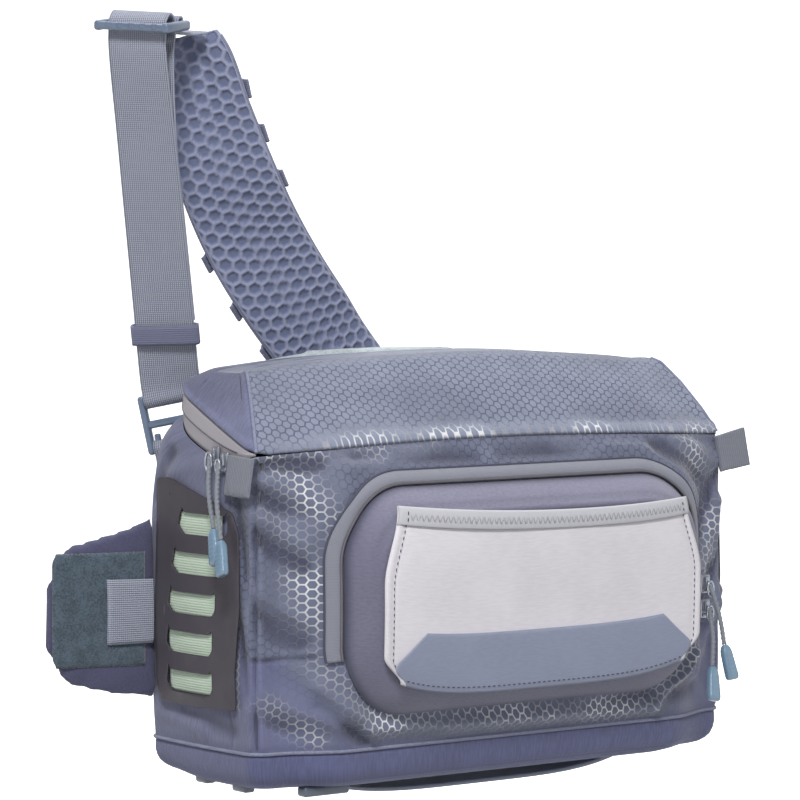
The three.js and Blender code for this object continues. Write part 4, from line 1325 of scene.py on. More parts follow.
        # Painted shade: darker in the folds' hollows, along the lower seam and in a band under the lid's rim
        # at the front.
        shade = np.clip(-0.50 * lift - 0.08, 0, 1) + 0.5 * smooth((31 - z) / 7)
        shade += 0.6 * smooth((7 - (BODY.rim(x, flat[..., 1]) - z)) / 6) * (flat[..., 1] < 14)
        marks = {"glint": glint, "faded": faded, "shade": np.clip(shade * rim, 0, 1)}
        cloth = Cloth(points, uv, zones, closed=True, marks=marks)
        piece = cloth.piece("body_walls", [self.finishes["hex_body"], self.finishes["plain_cloth"]])
        carried(piece, "hex_fabric", "body_shell")

    def base(self) -> None:
        """The base: a soft tray with a rounded lower edge, a little raised at its back."""
        foot = BODY.section(np.array(0.0))
        along = self.along(220)
        steps = [(0.0, self.base_inset + 8), (0.0, self.base_inset), (0.03, 11.0), (0.09, 7.0), (0.18, 4.2),
                 (0.30, 2.0), (0.45, 0.7), (0.62, 0.0), (0.80, 0.0), (0.93, 0.2), (1.0, 1.4)]
        rings = []
        top = BODY.seam - SEAT
        for up, inset in steps:
            ring = Ring(foot.half - inset, foot.bulge, foot.side, foot.back - inset, foot.turn)
            x, y = plan_point(ring, along)
            y = y + inset * (1 - smooth((y - 20) / 40))
            fall = 3.0 * smooth((y - 70) / 40) * smooth((-x - 120) / 60) * (1 - up)
            rings.append(stack(x, y, up * top + fall))
        points = np.array(rings)
        cloth = Cloth(points, pair(along[None, :], points[..., 2] + points[..., 1]),
                      closed=True, capped=True)
        self.wear(cloth, "base_tray", "base_cloth", "plain_fabric", "base_boot")

    def lid_point(self, along: Grid, step: Grid, rise: Grid, puff: Grid) -> Grid:
        """Points on the lid, from its rim to its crest.

        Args:
            along: distances round the body.
            step: shares of the way to the crest.
            rise: shares of the rise at each step.
            puff: how much the lid puffs at each step.

        Returns:
            The points.
        """
        rim = BODY.section(np.array(1.0))
        x, y = plan_point(rim, along)
        share = np.clip((y - BODY.corner_y) / (rim.back - BODY.corner_y), 0, 1)
        half = rim.half - self.end_inset
        crest_x = x * half / rim.half
        deep = blend(self.crest_front, self.crest_back, share)
        crest_y = blend(BODY.corner_y, rim.back, deep)
        crest_z = BODY.height + self.lid_rise + BODY.crown - self.end_drop * (crest_x / half) ** 2
        low = BODY.lid_rim(x, y)
        return stack(blend(x, crest_x, step), blend(y, crest_y, step), blend(low, crest_z, rise) + 2.5 * puff)

    def slope(self, step: Grid) -> tuple[Grid, Grid]:
        """How far the lid has risen, and how much it puffs, at each step to its crest."""
        knots = [0, 0.24, 0.55, 0.85, 1.0]
        rise = np.interp(step, knots, [0, 0.28, 0.62, 0.92, 1.0])
        return rise, np.interp(step, knots, [0, 0.8, 1.0, 0.5, 0.0])

    def lid(self) -> None:
        """The lid: a honeycomb panel over the top and front, plain gussets at its ends, with a painted glint
        along its front edge and painted shade in its hollows.
        """
        along = self.along(360)
        step = np.concatenate([np.linspace(0, 1, 46), np.linspace(1.02, 1.5, 8)])[:, None]
        rise, puff = self.slope(step)
        kernel = np.array([1, 2, 3, 2, 1]) / 9
        rise = np.convolve(np.pad(rise[:, 0], 2, mode="edge"), kernel, "valid")[:, None]
        rise[0] = 0.0
        inward = np.minimum(step, 1.0)
        flat = self.lid_point(along[None, :], inward, rise, puff)
        centre = blend(self.crest_front, self.crest_back, 0.5)
        middle_y = blend(BODY.corner_y, float(BODY.section(np.array(1.0)).back), centre)
        over = np.clip((step - 1.0) / 0.5, 0, 1)
        flat[..., 1] = blend(flat[..., 1], middle_y, over)
        flat[..., 0] *= 1 - 0.06 * over
        span = np.broadcast_to(along[None, :], flat.shape[:2])
        x, y, z = flat[..., 0], flat[..., 1], flat[..., 2]
        seam_left, seam_right = CORNER_SEAMS
        lift = np.zeros(flat.shape[:2])
        for seam in (seam_left, seam_right):
            off = np.abs(span - seam)
            lift += 1.0 * ridge(off - 2.8, 2.2) - 0.9 * ridge(off, 1.0)
        lift += 0.7 * np.sin(x / 37 + z / 19) * np.sin(z / 17 - x / 71) * smooth(step / 0.15)
        lift += 1.3 * ridge(step - 0.05, 0.05)
        lift *= smooth((1.45 - step) / 0.3)
        points = flat + normals_of(flat) * lift[..., None]
        slope = np.hypot(y - BODY.corner_y, z - BODY.height)
        over_y = np.where(y < 52, slope, 68 + (y - 52))
        middle = (along[:-1] + along[1:]) / 2
        main = (middle > seam_left) & (middle < seam_right)
        first, last = wall_start(Wall.BACK_LEFT_CORNER) + 6, wall_start(Wall.BACK_RIGHT_CORNER) + 14
        back = (middle < first) | (middle > last)
        top = (step[:-1, 0] > 0.98)[:, None]
        zones = np.where(main[None, :] | back[None, :] | top, 0, 1)
        gusset_side = ((span < seam_left) | (span > seam_right)) & (y < 96)
        uv = np.stack([np.where(gusset_side, y, x), np.where(gusset_side, z, over_y)], -1)
        # Painted glint on the honeycomb's lines along the lid's front edge, fading towards the left end.
        glint = np.clip(0.85 * ridge(step, 0.11) * smooth((x + 190) / 90) + 0.03, 0, 1)
        # Painted shade: in the lid's hollows, a thin line along its rim seam and a band before its crest.
        shade = np.clip(-0.5 * lift, 0, 1) + 0.5 * ridge(step, 0.012)
        shade += 0.25 * smooth((step - 0.75) / 0.3) * smooth((1.1 - step) / 0.1)
        marks = {"glint": glint, "shade": np.clip(shade + 0 * x, 0, 1)}
        cloth = Cloth(points, uv, zones, closed=True, capped=True, marks=marks)
        piece = cloth.piece("lid_dome", [self.finishes["hex_lid"], self.finishes["plain_cloth"]])
        carried(piece, "hex_fabric", "lid")

    def piping(self) -> None:
        """Thin piping in the lid's end seams and the body's lower seam."""
        for side, middle in zip(Side, CORNER_SEAMS):
            step = np.linspace(0.0, 1.0, 30)[:, None]
            line = self.lid_point(np.array([[middle]]), step, *self.slope(step))[:, 0]
            line = line + np.array([side.value * 0.6, -0.7, 0.5])
            self.pipe(line, 1.0, f"lid_piping_{side.word}", "piping", "plain_fabric")
        foot = BODY.section(np.array(0.0))
        along = self.along(220)
        x, y = plan_point(foot, along)
        outward = normals_of(np.array([stack(x, y, 0 * x), stack(x, y, 0 * x + 1)]))[0]
        line = stack(x, y, 0 * x + BODY.seam - 0.2) + outward * 0.4
        self.pipe(line, 1.1, "base_piping", "piping", "plain_fabric")


# Zips.
@dataclass
class LidZip(Part):
    """The lid's zip: two tapes, folded cloth edges and a coil between them."""

    thick: float = 1.6

    def build(self) -> None:
        """Builds the tape and its coil."""
        rim = BODY.section(np.array(1.0))
        first = wall_start(Wall.FRONT_RIGHT_CORNER) + 10
        last = WALL_ENDS[-1] + wall_start(Wall.FRONT_LEFT_CORNER) + 9
        along = np.linspace(first, last, 260) % WALL_ENDS[-1]
        x, y = plan_point(rim, along)
        low = BODY.rim(x, y) + SEAT
        high = np.maximum(BODY.lid_rim(x, y) - SEAT, low + 0.9)
        shares = np.linspace(0, 1, 9)
        rows = [stack(x, y, blend(low, high, v)) for v in shares]
        flat = np.array(rows)
        v = shares[:, None]
        lift = 0.7 * ridge(v - 0.5, 0.10) - 0.6 * ridge(v, 0.08) - 0.6 * ridge(1 - v, 0.08)
        points = flat + normals_of(flat) * lift[..., None]
        lengths = run_lengths(flat[4])
        uv = pair((high - low)[None, :] * v, lengths[None, :])
        self.wear(Cloth(points, uv), "lid_zip_tape", "zip_tape", "zip_tape", "lid_zip", thick=self.thick)
        centre = flat[4] + normals_of(flat)[4] * 0.7
        coil = Beads(long=1.9, pitch=1.45, radius=0.55)
        normal = normals_of(flat)[4]
        piece = coil.piece("lid_zip_coil", centre[8:-8], normal[8:-8], self.finishes["zip_coil"])
        carried(piece, "zip_tape")


def rounded_outline(half: float, low: float, high: float, radius: float, count: int) -> Grid:
    """Points round a rounded rectangle, evenly spaced, from the middle of its foot.

    Args:
        half: half its width.
        low: its lower edge.
        high: its upper edge.
        radius: its corners' radius.
        count: how many points.

    Returns:
        The points, across and up.
    """
    centres = ((half - radius, low + radius, -90), (half - radius, high - radius, 0),
               (radius - half, high - radius, 90), (radius - half, low + radius, 180))
    line = [(0.0, low)]
    for x, z, start in centres:
        for turn in np.radians(np.linspace(start, start + 90, 40)):
            line.append((x + radius * math.cos(turn), z + radius * math.sin(turn)))
    return spaced(np.array(line + [(0.0, low)]), count)


# Front pocket.
@dataclass
class FrontPocket(Part):
    """The moulded pocket with its zip, and the slip pocket on its face."""

    half: float = 140.0
    top: float = 184.0
    bottom: float = 44.0
    depth: float = 17.0
    corner: float = 46.0
    edge: float = 20.0
    lift: float = 0.9
    zip_wide: float = 7.0
    zip_wrap: float = 36.0
    slip_half: float = 126.0
    slip_top: float = 172.0
    slip_bottom: float = 56.0
    slip_thick: float = 1.4
    mouth: float = 6.5
    sag: float = 5.0
    band: float = 12.0
    patch_top: float = 95.0
    patch_cut: float = 32.0

    def build(self) -> None:
        """Builds the shell, the zip, the slip pocket and its stitches."""
        self.shell()
        self.zip()
        self.slip()
        self.slip_trim()

    def base_y(self, x: Grid, z: Grid) -> Grid:
        """The front that the pocket is sewn to."""
        return np.minimum(BODY.front_y(x, z), BODY.front_y(0.8 * x, z) + 3)

    def shell(self) -> None:
        """The padded shell: a rolled rim, a crease along its top and a flat face, with painted shade along
        its rim, in its recess and on its left slope.
        """
        insets = np.concatenate([[0.0, 0.4, 1.0, 2.0, 3.2, 4.6], np.arange(6.5, 42, 1.9)])
        rings, uvs = [], []
        count = 260
        for inset in insets:
            outline = rounded_outline(self.half - inset, self.bottom + inset, self.top - inset,
                                      max(self.corner - 0.5 * inset, 6.0), count)
            x, z = outline[:, 0], outline[:, 1]
            rings.append(self.raised(x, z, inset))
            uvs.append(np.stack([x, z + 0 * x], -1))
        centre = np.array([0.0, (self.bottom + self.top) / 2])
        last = uvs[-1]
        for share in (0.7, 0.4, 0.12):
            spot = centre + (last - centre) * share
            rings.append(self.raised(spot[:, 0], spot[:, 1], 42.0))
            uvs.append(spot)
        points, uv = np.array(rings), np.array(uvs)
        inset = np.concatenate([insets, [42.0] * 3])[:, None]
        # Painted shade: in the recess under the top crease, along the rim's edge, towards the left end and
        # along a line near the crease.
        upper = smooth((uv[..., 1] - 132) / 34)
        left = smooth((-uv[..., 0] - 108) / 26)
        shade = 0.55 * ridge(inset - 27, 6) * upper + 0.8 * ridge(inset, 2.0)
        shade += 0.3 * left * smooth((24 - inset) / 12) + 0.3 * ridge(inset - 11.0, 1.6) * upper
        cloth = Cloth(points, uv, closed=True, marks={"shade": np.clip(shade, 0, 1)})
        self.wear(cloth, "pocket_shell_cloth", "moulded_cloth", "moulded_fabric", "pocket_shell", thick=3.0)

    def raised(self, x: Grid, z: Grid, inset: float) -> Grid:
        """Points on the shell's outer face at an inset from its rim.

        Args:
            x: places across.
            z: heights.
            inset: the distance in from the rim.

        Returns:
            The points.
        """
        rise = self.depth * math.sin(min(inset / self.edge, 1.0) * math.pi / 2) ** 0.8
        plateau = 1.5 * float(smooth(np.array((inset - 18) / 6)))
        upper = smooth((z - 132) / 34)
        crease = 1.3 * math.exp(-((inset - 15.5) / 2.0) ** 2) * upper
        dip = smooth(np.array((inset - 17) / 4)) * (1 - smooth(np.array((inset - 30) / 10)))
        recess = -2.6 * float(dip) * upper
        slack = 0.35 * np.sin(x / 23 + z / 31)
        y = self.base_y(x, z) - self.lift - rise - plateau - crease - recess - slack * min(inset / 12, 1.0)
        return stack(x, y, z)

    def zip(self) -> None:
        """The pocket's zip tape, round its top and sides, with a fold along its outer edge."""
        outline = rounded_outline(self.half + 1.5, self.bottom - 1.5, self.top + 1.5, self.corner + 1.5, 500)
        keep = outline[:, 1] > self.bottom + self.zip_wrap
        line = outline[np.flatnonzero(keep)][::-1]
        run = tangents(line)
        out = np.stack([-run[:, 1], run[:, 0]], 1)
        shares = np.linspace(0, 1, 9)
        rows, widths = [], []
        for share in shares:
            off = 0.2 + (self.zip_wide + 1.2) * share
            spot = line + out * off
            bow = 1.5 * math.sin(math.pi * share) ** 0.6
            y = BODY.front_y(spot[:, 0], spot[:, 1]) - 1.2 - 0.6 - bow
            rows.append(stack(spot[:, 0], y, spot[:, 1]))
            widths.append(off)
        points = np.array(rows)
        lengths = run_lengths(points[4])
        uv = pair(np.array(widths)[:, None], lengths[None, :])
        self.wear(Cloth(points, uv), "pocket_zip_tape", "pocket_tape", "zip_tape", "pocket_zip", thick=1.2)
        inner = points[0] + np.array([0, -0.6, 0])
        self.pipe(inner, 0.9, "pocket_zip_gap", "zip_coil", "zip_tape")
        outer = points[-1] + np.array([0, -0.1, 0])
        self.pipe(outer, 0.7, "pocket_zip_edge", "thread", "zip_tape")

    def face_y(self, x: Grid, z: Grid) -> Grid:
        """The y of the pocket's flat face, a little proud."""
        return self.base_y(x, z) - self.lift - self.depth - 1.6

    def slip_point(self, u: Grid, v: Grid, lift: Grid) -> Grid:
        """Points on the slip pocket from shares across and up it.

        Args:
            u: shares across.
            v: shares up.
            lift: distances off the pocket's face.

        Returns:
            The points.
        """
        u, v = np.broadcast_arrays(u, v)
        taper = 1 - 0.09 * smooth((v - 0.55) / 0.45) - 0.1 * smooth((0.16 - v) / 0.16)
        x = blend(-1, 1, u) * self.slip_half * taper
        sag = self.sag * (1 - (2 * u - 1) ** 2)
        z = blend(self.slip_bottom + 10 * (2 * u - 1) ** 4, self.slip_top - sag, v) - 0.02 * x * v
        gap = self.mouth * smooth((v - 0.3) / 0.7) * (1 - (2 * u - 1) ** 4)
        return stack(x, self.face_y(x, z) - SEAT - gap - lift, z)

    def slip(self) -> None:
        """The slip pocket's panel, with folded edges at its sides."""
        u, v = steps(121, 61)
        edge = np.minimum(u, 1 - u) * 2 * self.slip_half
        fold = 1.1 * ridge(edge - 2.6, 2.0) - 0.5 * ridge(edge - 6.6, 1.0)
        wave = 0.5 * np.sin(u * 9 + v * 3) * v * np.sin(np.pi * u)
        low = 0.9 * ridge(v - 0.02, 0.03)
        points = self.slip_point(u, v, self.slip_thick + fold + wave + low)
        self.wear(Cloth(points), "slip_panel", "slip_cloth", "slip_fabric", "slip_pocket",
                  thick=self.slip_thick)
        u, v = steps(121, 13)
        start = 1 - self.band / (self.slip_top - self.slip_bottom)
        bow = 0.9 * np.sin(np.pi * v) ** 0.5 + 0.25 * np.sin(u * 260) * ridge(v - 0.5, 0.25)
        points = self.slip_point(u, blend(start, 1.004, v), self.slip_thick + 1.1 + bow)
        self.wear(Cloth(points), "slip_binding", "binding", "binding", "slip_band", thick=1.2)
        rise = (self.patch_top - self.slip_bottom) / (self.slip_top - self.slip_bottom)
        u, v = np.linspace(-1, 1, 121)[None, :], np.linspace(0, 1, 25)[:, None]
        wide = blend(0.985, 1 - self.patch_cut / self.slip_half, np.clip((v - 0.22) / 0.78, 0, 1))
        slope = 0.006 * u * v
        lift = self.slip_thick + 1.0 + 0.6 * smooth(np.minimum(v, 1 - v) / 0.06)
        points = self.slip_point(0.5 + u * wide / 2, blend(0.0, rise, v) + slope, lift)
        self.wear(Cloth(points), "slip_patch_cloth", "patch_cloth", "patch_fabric", "slip_patch", thick=1.0)

    def slip_trim(self) -> None:
        """The stitches: a zigzag on the binding, dashes down the sides and along the foot."""
        forward = np.array([0.0, -1.0, 0.0])
        start = 1 - self.band / (self.slip_top - self.slip_bottom)
        u = np.linspace(0.03, 0.97, 160)
        line = self.slip_point(u, blend(start, 1, 0.5) + 0 * u, self.slip_thick + 2.3 + 0 * u)
        zigzag = Beads(long=5.4, pitch=1.9, radius=0.32, form=Form.ZIGZAG, swing=1.25)
        carried(zigzag.piece("binding_zigzag", line, forward, self.finishes["pale_thread"]), "binding")
        dash = Beads(long=2.6, pitch=3.9, radius=0.42)
        for side in Side:
            v = np.linspace(0.06, 0.985, 80)
            off = 6.2 / (2 * self.slip_half)
            share = off + 0 * v if side is Side.LEFT else 1 - off + 0 * v
            line = self.slip_point(share, v, self.slip_thick + 1.0 + 1.6 * smooth((v - start) / 0.03))
            name = f"slip_side_stitches_{side.word}"
            carried(dash.piece(name, line, forward, self.finishes["thread"]), "binding")
        u = np.linspace(0.02, 0.98, 140)
        line = self.slip_point(u, 0.035 + 0 * u, self.slip_thick + 2.0 + 0 * u)
        carried(dash.piece("patch_stitches", line, forward, self.finishes["thread"]), "patch_fabric")


# Side panels.
@dataclass
class SidePanels(Part):
    """The slotted sheet on each end of the bag, with webbing behind it."""

    thick: float = 1.2
    slots: int = 5
    pitch: float = 24.4
    slot_tall: float = 13.0
    slot_wide: float = 50.0
    first_slot: float = 161.0
    front: float = 18.0
    back: float = 103.0
    top: float = 188.0
    bottom: float = 50.0
    slope: float = 0.17
    web_wide: float = 54.0
    web_thick: float = 1.8
    cut: float = 3.0

    def build(self) -> None:
        """Builds both ends."""
        for side in Side:
            self.panel(side)
            self.webbing(side)

    def body_x(self, y: Grid, z: Grid) -> Grid:
        """The side that the panel is laid on."""
        return BODY.side_x(np.clip(y, 24, 92), z) + 0.5

    def slot_centre(self, index: int) -> tuple[float, float]:
        """A slot's centre, along the side and up."""
        share = 1 - (1 - index / (self.slots - 1)) ** 2
        return blend(53.0, 67.0, share), self.first_slot - index * self.pitch

    def panel(self, side: Side) -> None:
        """The sheet: cut from a flat outline, sliced fine and bent to the side.

        Args:
            side: the end of the bag.
        """
        outline = [
            (self.front + 3, self.bottom), (self.back - 5, self.bottom - 1), (self.back, self.bottom + 8),
            (self.back, self.top - 1), (self.back - 12, self.top), (self.front + 24, self.top - 13),
            (self.front + 7, self.top - 18), (self.front, self.top - 30), (self.front - 1, self.bottom + 60),
            (self.front + 4, self.bottom + 22),
        ]
        curve = bpy.data.curves.new("panel_outline", "CURVE")
        curve.dimensions = "2D"
        curve.fill_mode = "BOTH"
        self.loop(curve, outline, 3.0)
        for i in range(self.slots):
            self.loop(curve, self.slot_outline(i), 1.6)
        holder = placed("panel_outline", curve)
        bpy.context.view_layer.update()
        flat = bpy.data.meshes.new_from_object(holder)
        bpy.data.objects.remove(holder)
        bm = bmesh.new()
        bm.from_mesh(flat)
        bmesh.ops.remove_doubles(bm, verts=bm.verts, dist=1e-4)
        for axis, low, high in ((0, self.front - 2, self.back + 2), (1, self.bottom - 2, self.top + 2)):
            for cut in np.arange(low, high, self.cut):
                at, normal = [0.0, 0.0, 0.0], [0.0, 0.0, 0.0]
                at[axis], normal[axis] = float(cut), 1.0
                geometry = bm.verts[:] + bm.edges[:] + bm.faces[:]
                bmesh.ops.bisect_plane(bm, geom=geometry, dist=1e-5, plane_co=at, plane_no=normal)
        layer = bm.loops.layers.uv.new("weave")
        for face in bm.faces:
            face.smooth = True
            for loop in face.loops:
                loop[layer].uv = (loop.vert.co.x * MM, loop.vert.co.y * MM)
        for vert in bm.verts:
            vert.co = self.bent(side, vert.co.x, vert.co.y)
        bm.normal_update()
        facing = sum(face.normal.x * face.calc_area() for face in bm.faces)
        if facing * side.value < 0:
            bmesh.ops.reverse_faces(bm, faces=bm.faces)
        piece = finished(bm, f"slotted_panel_{side.word}", self.finishes["panel_sheet"])
        wall = piece.modifiers.new("wall", "SOLIDIFY")
        wall.thickness = self.thick * MM
        wall.offset = 1.0
        carried(piece, "panel_sheet", f"side_panel_{side.word}")

    def slot_outline(self, index: int) -> list[tuple[float, float]]:
        """A slot with one raised upper corner and its lower corners cut off.

        Args:
            index: the slot's number from the top, from 0.

        Returns:
            The outline's corners, as y and z.
        """
        y, z = self.slot_centre(index)
        half, tall = self.slot_wide / 2, self.slot_tall / 2
        return [
            (y - half + 3, z - tall), (y + half - 7, z - tall), (y + half, z - tall + 5),
            (y + half - 3, z + tall + 4), (y + half - 6, z + tall), (y - half + 4, z + tall),
            (y - half, z + tall + 3), (y - half, z - tall + 4),
        ]

    def loop(self, curve: bpy.types.Curve, corners: Sequence[tuple[float, float]], radius: float) -> None:
        """Adds a closed outline with its corners rounded by cutting them three times.

        Args:
            curve: the curve to add to.
            corners: the outline's corners.
            radius: how far each corner is cut back.
        """
        points = [np.array(corner, dtype=float) for corner in corners]
        rounded = []
        for i, point in enumerate(points):
            before, after = points[i - 1], points[(i + 1) % len(points)]
            pull_in = min(radius, 0.45 * np.linalg.norm(before - point))
            pull_out = min(radius, 0.45 * np.linalg.norm(after - point))
            start = point + (before - point) / np.linalg.norm(before - point) * pull_in
            end = point + (after - point) / np.linalg.norm(after - point) * pull_out
            for t in (0.0, 0.33, 0.67, 1.0):
                rounded.append((1 - t) ** 2 * start + 2 * t * (1 - t) * point + t * t * end)
        spline = curve.splines.new("POLY")
        spline.points.add(len(rounded) - 1)
        spline.use_cyclic_u = True
        for target, place in zip(spline.points, rounded):
            target.co = (place[0], place[1], 0.0, 1.0)

    def bent(self, side: Side, y: float, z: float) -> Vector:
        """A place on the sheet's inner face, which lifts a little round each slot.

        Args:
            side: the end of the bag.
            y: the place from front to back.
            z: the height.

        Returns:
            The place in the row frame.
        """
        lift = 0.0
        for i in range(self.slots):
            sy, sz = self.slot_centre(i)
            across = smooth(np.array(1.3 - abs(y - sy) / (self.slot_wide / 2)))
            lift += 1.3 * float(across) * math.exp(-((z - sz) / 9.0) ** 2)
        corner = 1.4 * math.exp(-((y - self.back) ** 2 + (z - self.top) ** 2) / 220.0)
        x = float(self.body_x(np.array(y), np.array(z))) + self.web_thick + 0.6 + lift + corner
        return DATUM.point((side.value * x, y, z))

    def webbing(self, side: Side) -> None:
        """The pale webbing that shows through the slots, bowed out in each.

        Args:
            side: the end of the bag.
        """
        y_middle = self.slot_centre(2)[0]
        u, z = np.linspace(-0.5, 0.5, 25)[None, :], np.linspace(57, 168, 90)[:, None]
        y = y_middle + side.value * u * self.web_wide
        bow = sum(0.9 * ridge(z - self.slot_centre(i)[1], 5.0) for i in range(self.slots))
        x = self.body_x(y, z) + self.web_thick - 0.2 + bow * np.cos(np.pi * u)
        points = stack(side.value * x, y, z)
        uv = pair(z, y)
        self.wear(Cloth(points, uv), f"slot_webbing_{side.word}", "mint_webbing", "mint_webbing",
                  f"side_webbing_{side.word}", thick=1.2)


# Padded pieces.
def settle(piece: Piece) -> None:
    """Applies a piece's modifiers to its mesh.

    Args:
        piece: the piece.
    """
    bpy.context.view_layer.update()
    graph = bpy.context.evaluated_depsgraph_get()
    done = bpy.data.meshes.new_from_object(piece.evaluated_get(graph))
    done.name = piece.data.name
    piece.modifiers.clear()
    piece.data = done


def positions(piece: Piece) -> Grid:
    """A mesh's points as an array."""
    flat = np.empty(len(piece.data.vertices) * 3)
    piece.data.vertices.foreach_get("co", flat)
    return flat.reshape(-1, 3)


def puffed(piece: Piece, voxel: float, cap: float, pressure: float = 4.0, frames: int = 20) -> None:
    """Fills a closed piece by cloth simulation and applies the result.

    Args:
        piece: the closed piece.
        voxel: the mesh size, in millimetres.
        cap: how far a point may move, in millimetres.
        pressure: the filling's pressure.
        frames: how many steps to run.
    """
    remesh = piece.modifiers.new("remesh", "REMESH")
    remesh.mode = "VOXEL"
    remesh.voxel_size = voxel * MM
    settle(piece)
    rest = positions(piece)
    fill = piece.modifiers.new("fill", "CLOTH")
    fill.settings.use_pressure = True
    fill.settings.uniform_pressure_force = pressure
    fill.settings.effector_weights.gravity = 0.0
    for step in range(1, frames + 1):
        bpy.context.scene.frame_set(step)
    settle(piece)
    bpy.context.scene.frame_set(1)
    move = positions(piece) - rest
    far = np.maximum(np.linalg.norm(move, axis=1, keepdims=True), 1e-9)
    piece.data.vertices.foreach_set("co", (rest + move * np.minimum(1.0, cap * MM / far)).ravel())
    soften(piece, 1)
    settle(piece)
    for face in piece.data.polygons:
        face.use_smooth = True


@dataclass
class HipWings(Part):
    """The padded wings at the bag's back edges, with a loop patch and a belt's end on each."""

    reach: float = 73.0
    thick: float = 11.0
    root: float = 118.0
    tip: float = 84.0
    bottom: float = 47.0
    sweep: float = 20.0
    seam: float = 0.09
    patch_low: float = 70.0
    patch_tall: float = 71.0
    belt_low: float = 84.0
    belt_tall: float = 40.0

    def build(self) -> None:
        """Builds both sides."""
        for side in Side:
            self.wing(side)
            self.patch(side)
            self.belt(side)

    def place(self, side: Side, out: Grid, z: Grid, lift: Grid) -> Grid:
        """Points on the wing from a share of its reach, a height and a height off its middle.

        Args:
            side: the end of the bag.
            out: shares of the wing's reach.
            z: heights.
            lift: distances off the wing's middle, forwards.

        Returns:
            The points.
        """
        root = BODY.section(np.array(0.4))
        x = root.half - 6 + out * self.reach
        y = BODY.back_face() + 0.6 - 14 + self.sweep * out**1.3
        return stack(side.value * (x + 0.25 * lift), y - lift, z)

    def edges(self, out: Grid) -> tuple[Grid, Grid]:
        """The wing's lower and upper edge along its reach."""
        end = smooth((out - 0.84) / 0.16)
        high = blend(self.bottom + self.root, self.bottom + self.tip + 14, out) - 18 * end
        return self.bottom + 14 * out**2 + 14 * end, high

    def wing(self, side: Side) -> None:
        """The wing: a flat padded flap filled by simulation.

        Args:
            side: the end of the bag.
        """
        out = np.array([0.0, 0.12, 0.24, 0.36, 0.48, 0.6, 0.7, 0.78, 0.85, 0.9, 0.94, 0.97, 1.0])
        out = blend(self.seam, 1.02, out)[:, None]
        low, high = self.edges(out)
        turn = np.linspace(0, 2 * np.pi, 49)[None, :]
        up = 0.5 - 0.5 * squarer(np.cos(turn), 0.6)
        half = (self.thick / 2 - 1.0) * (1 - 0.5 * smooth((out - 0.84) / 0.16))
        lift = half * squarer(np.sin(turn), 0.5)
        points = self.place(side, out + 0 * turn, blend(low + 2, high - 2, up), lift)
        cloth = Cloth(points, closed=True, capped=True)
        piece = cloth.piece(f"wing_pad_{side.word}", [self.finishes["wing_cloth"]])
        puffed(piece, 3.0, 1.6)
        carried(piece, "wing_fabric", f"hip_wing_{side.word}")

    def patch(self, side: Side) -> None:
        """The loop patch on the wing's face.

        Args:
            side: the end of the bag.
        """
        u, v = steps(41, 41)
        out = blend(0.985, 0.2, u)
        rounding = 1.0 - 0.04 * ridge(v - 0.0, 0.05) - 0.04 * ridge(1 - v, 0.05)
        out = 0.2 + (out - 0.2) * rounding
        edge = smooth(np.minimum(np.minimum(u, 1 - u), np.minimum(v, 1 - v)) / 0.05)
        lift = self.thick / 2 + SEAT + 0.4 + 1.2 * edge
        z = self.patch_low + self.patch_tall * v
        points = self.place(side, out + 0 * v, z + 0 * u, lift)
        if side is Side.RIGHT:
            points = points[:, ::-1]
        self.wear(Cloth(points), f"loop_cloth_{side.word}", "loop_pile", "loop_fabric",
                  f"loop_patch_{side.word}", thick=1.6)

    def belt(self, side: Side) -> None:
        """The belt's folded end, run in behind the slotted panel.

        Args:
            side: the end of the bag.
        """
        u, v = steps(41, 15)
        out = blend(0.54, 0.14, u)
        fold = 1.3 * ridge(u, 0.05)
        lift = self.thick / 2 + 3.6 + 1.4 * np.sin(np.pi * v) ** 0.5 - fold
        z = self.belt_low + self.belt_tall * v - 3.0 * (1 - u) * (0.5 - v) * 0.3
        points = self.place(side, out + 0 * v, z + 0 * u, lift)
        uv = pair(v * self.belt_tall, (out - 0.14) * self.reach)
        if side is Side.RIGHT:
            points, uv = points[:, ::-1], uv[:, ::-1]
        self.wear(Cloth(points, uv), f"belt_webbing_{side.word}", "strap_webbing", "webbing",
                  f"belt_tab_{side.word}", thick=2.0)


@dataclass
class BackPad(Part):
    """The padded panel at the bag's back."""

    half: float = 130.0
    thick: float = 11.0
    bottom: float = 26.0
    top: float = 266.0
    gap: float = 0.6
    channels: tuple[float, ...] = (82.0, 140.0, 198.0)
    column: float = 48.0

    def build(self) -> None:
        """Builds the pad, filled by simulation, then draws in its sewn channels."""
        turn = np.linspace(0, 2 * np.pi, 73)[None, :]
        v = np.linspace(0, 1, 31)[:, None]
        pull_in = 1 - 0.08 * ridge(np.minimum(v, 1 - v), 0.03)
        x = -self.half * squarer(np.cos(turn), 0.5) * pull_in
        deep = (self.thick - 3) / 2 * (1 - 0.6 * ridge(np.minimum(v, 1 - v), 0.02))
        middle = BODY.back_face() + self.gap + self.thick / 2
        y = middle - deep * squarer(np.sin(turn), 0.35)
        high = self.top - 20 * np.abs(x / self.half) ** 3 + 2
        points = stack(x, y, blend(self.bottom + 2, high, v))
        piece = Cloth(points, closed=True, capped=True).piece("back_cushion", [self.finishes["back_mesh"]])
        puffed(piece, 5.0, 2.2)
        place = (positions(piece) - DATUM.origin()) / MM
        outer = smooth((place[:, 1] - middle) / 2.0)
        seams = ridge(np.abs(place[:, 0]) - self.column, 3.5)
        for level in self.channels:
            seams = np.maximum(seams, ridge(place[:, 2] - level, 3.5))
        place[:, 1] -= 4.0 * outer * seams
        piece.data.vertices.foreach_set("co", DATUM.row(place).ravel())
        piece.data.update()
        carried(piece, "back_mesh", "back_pad")


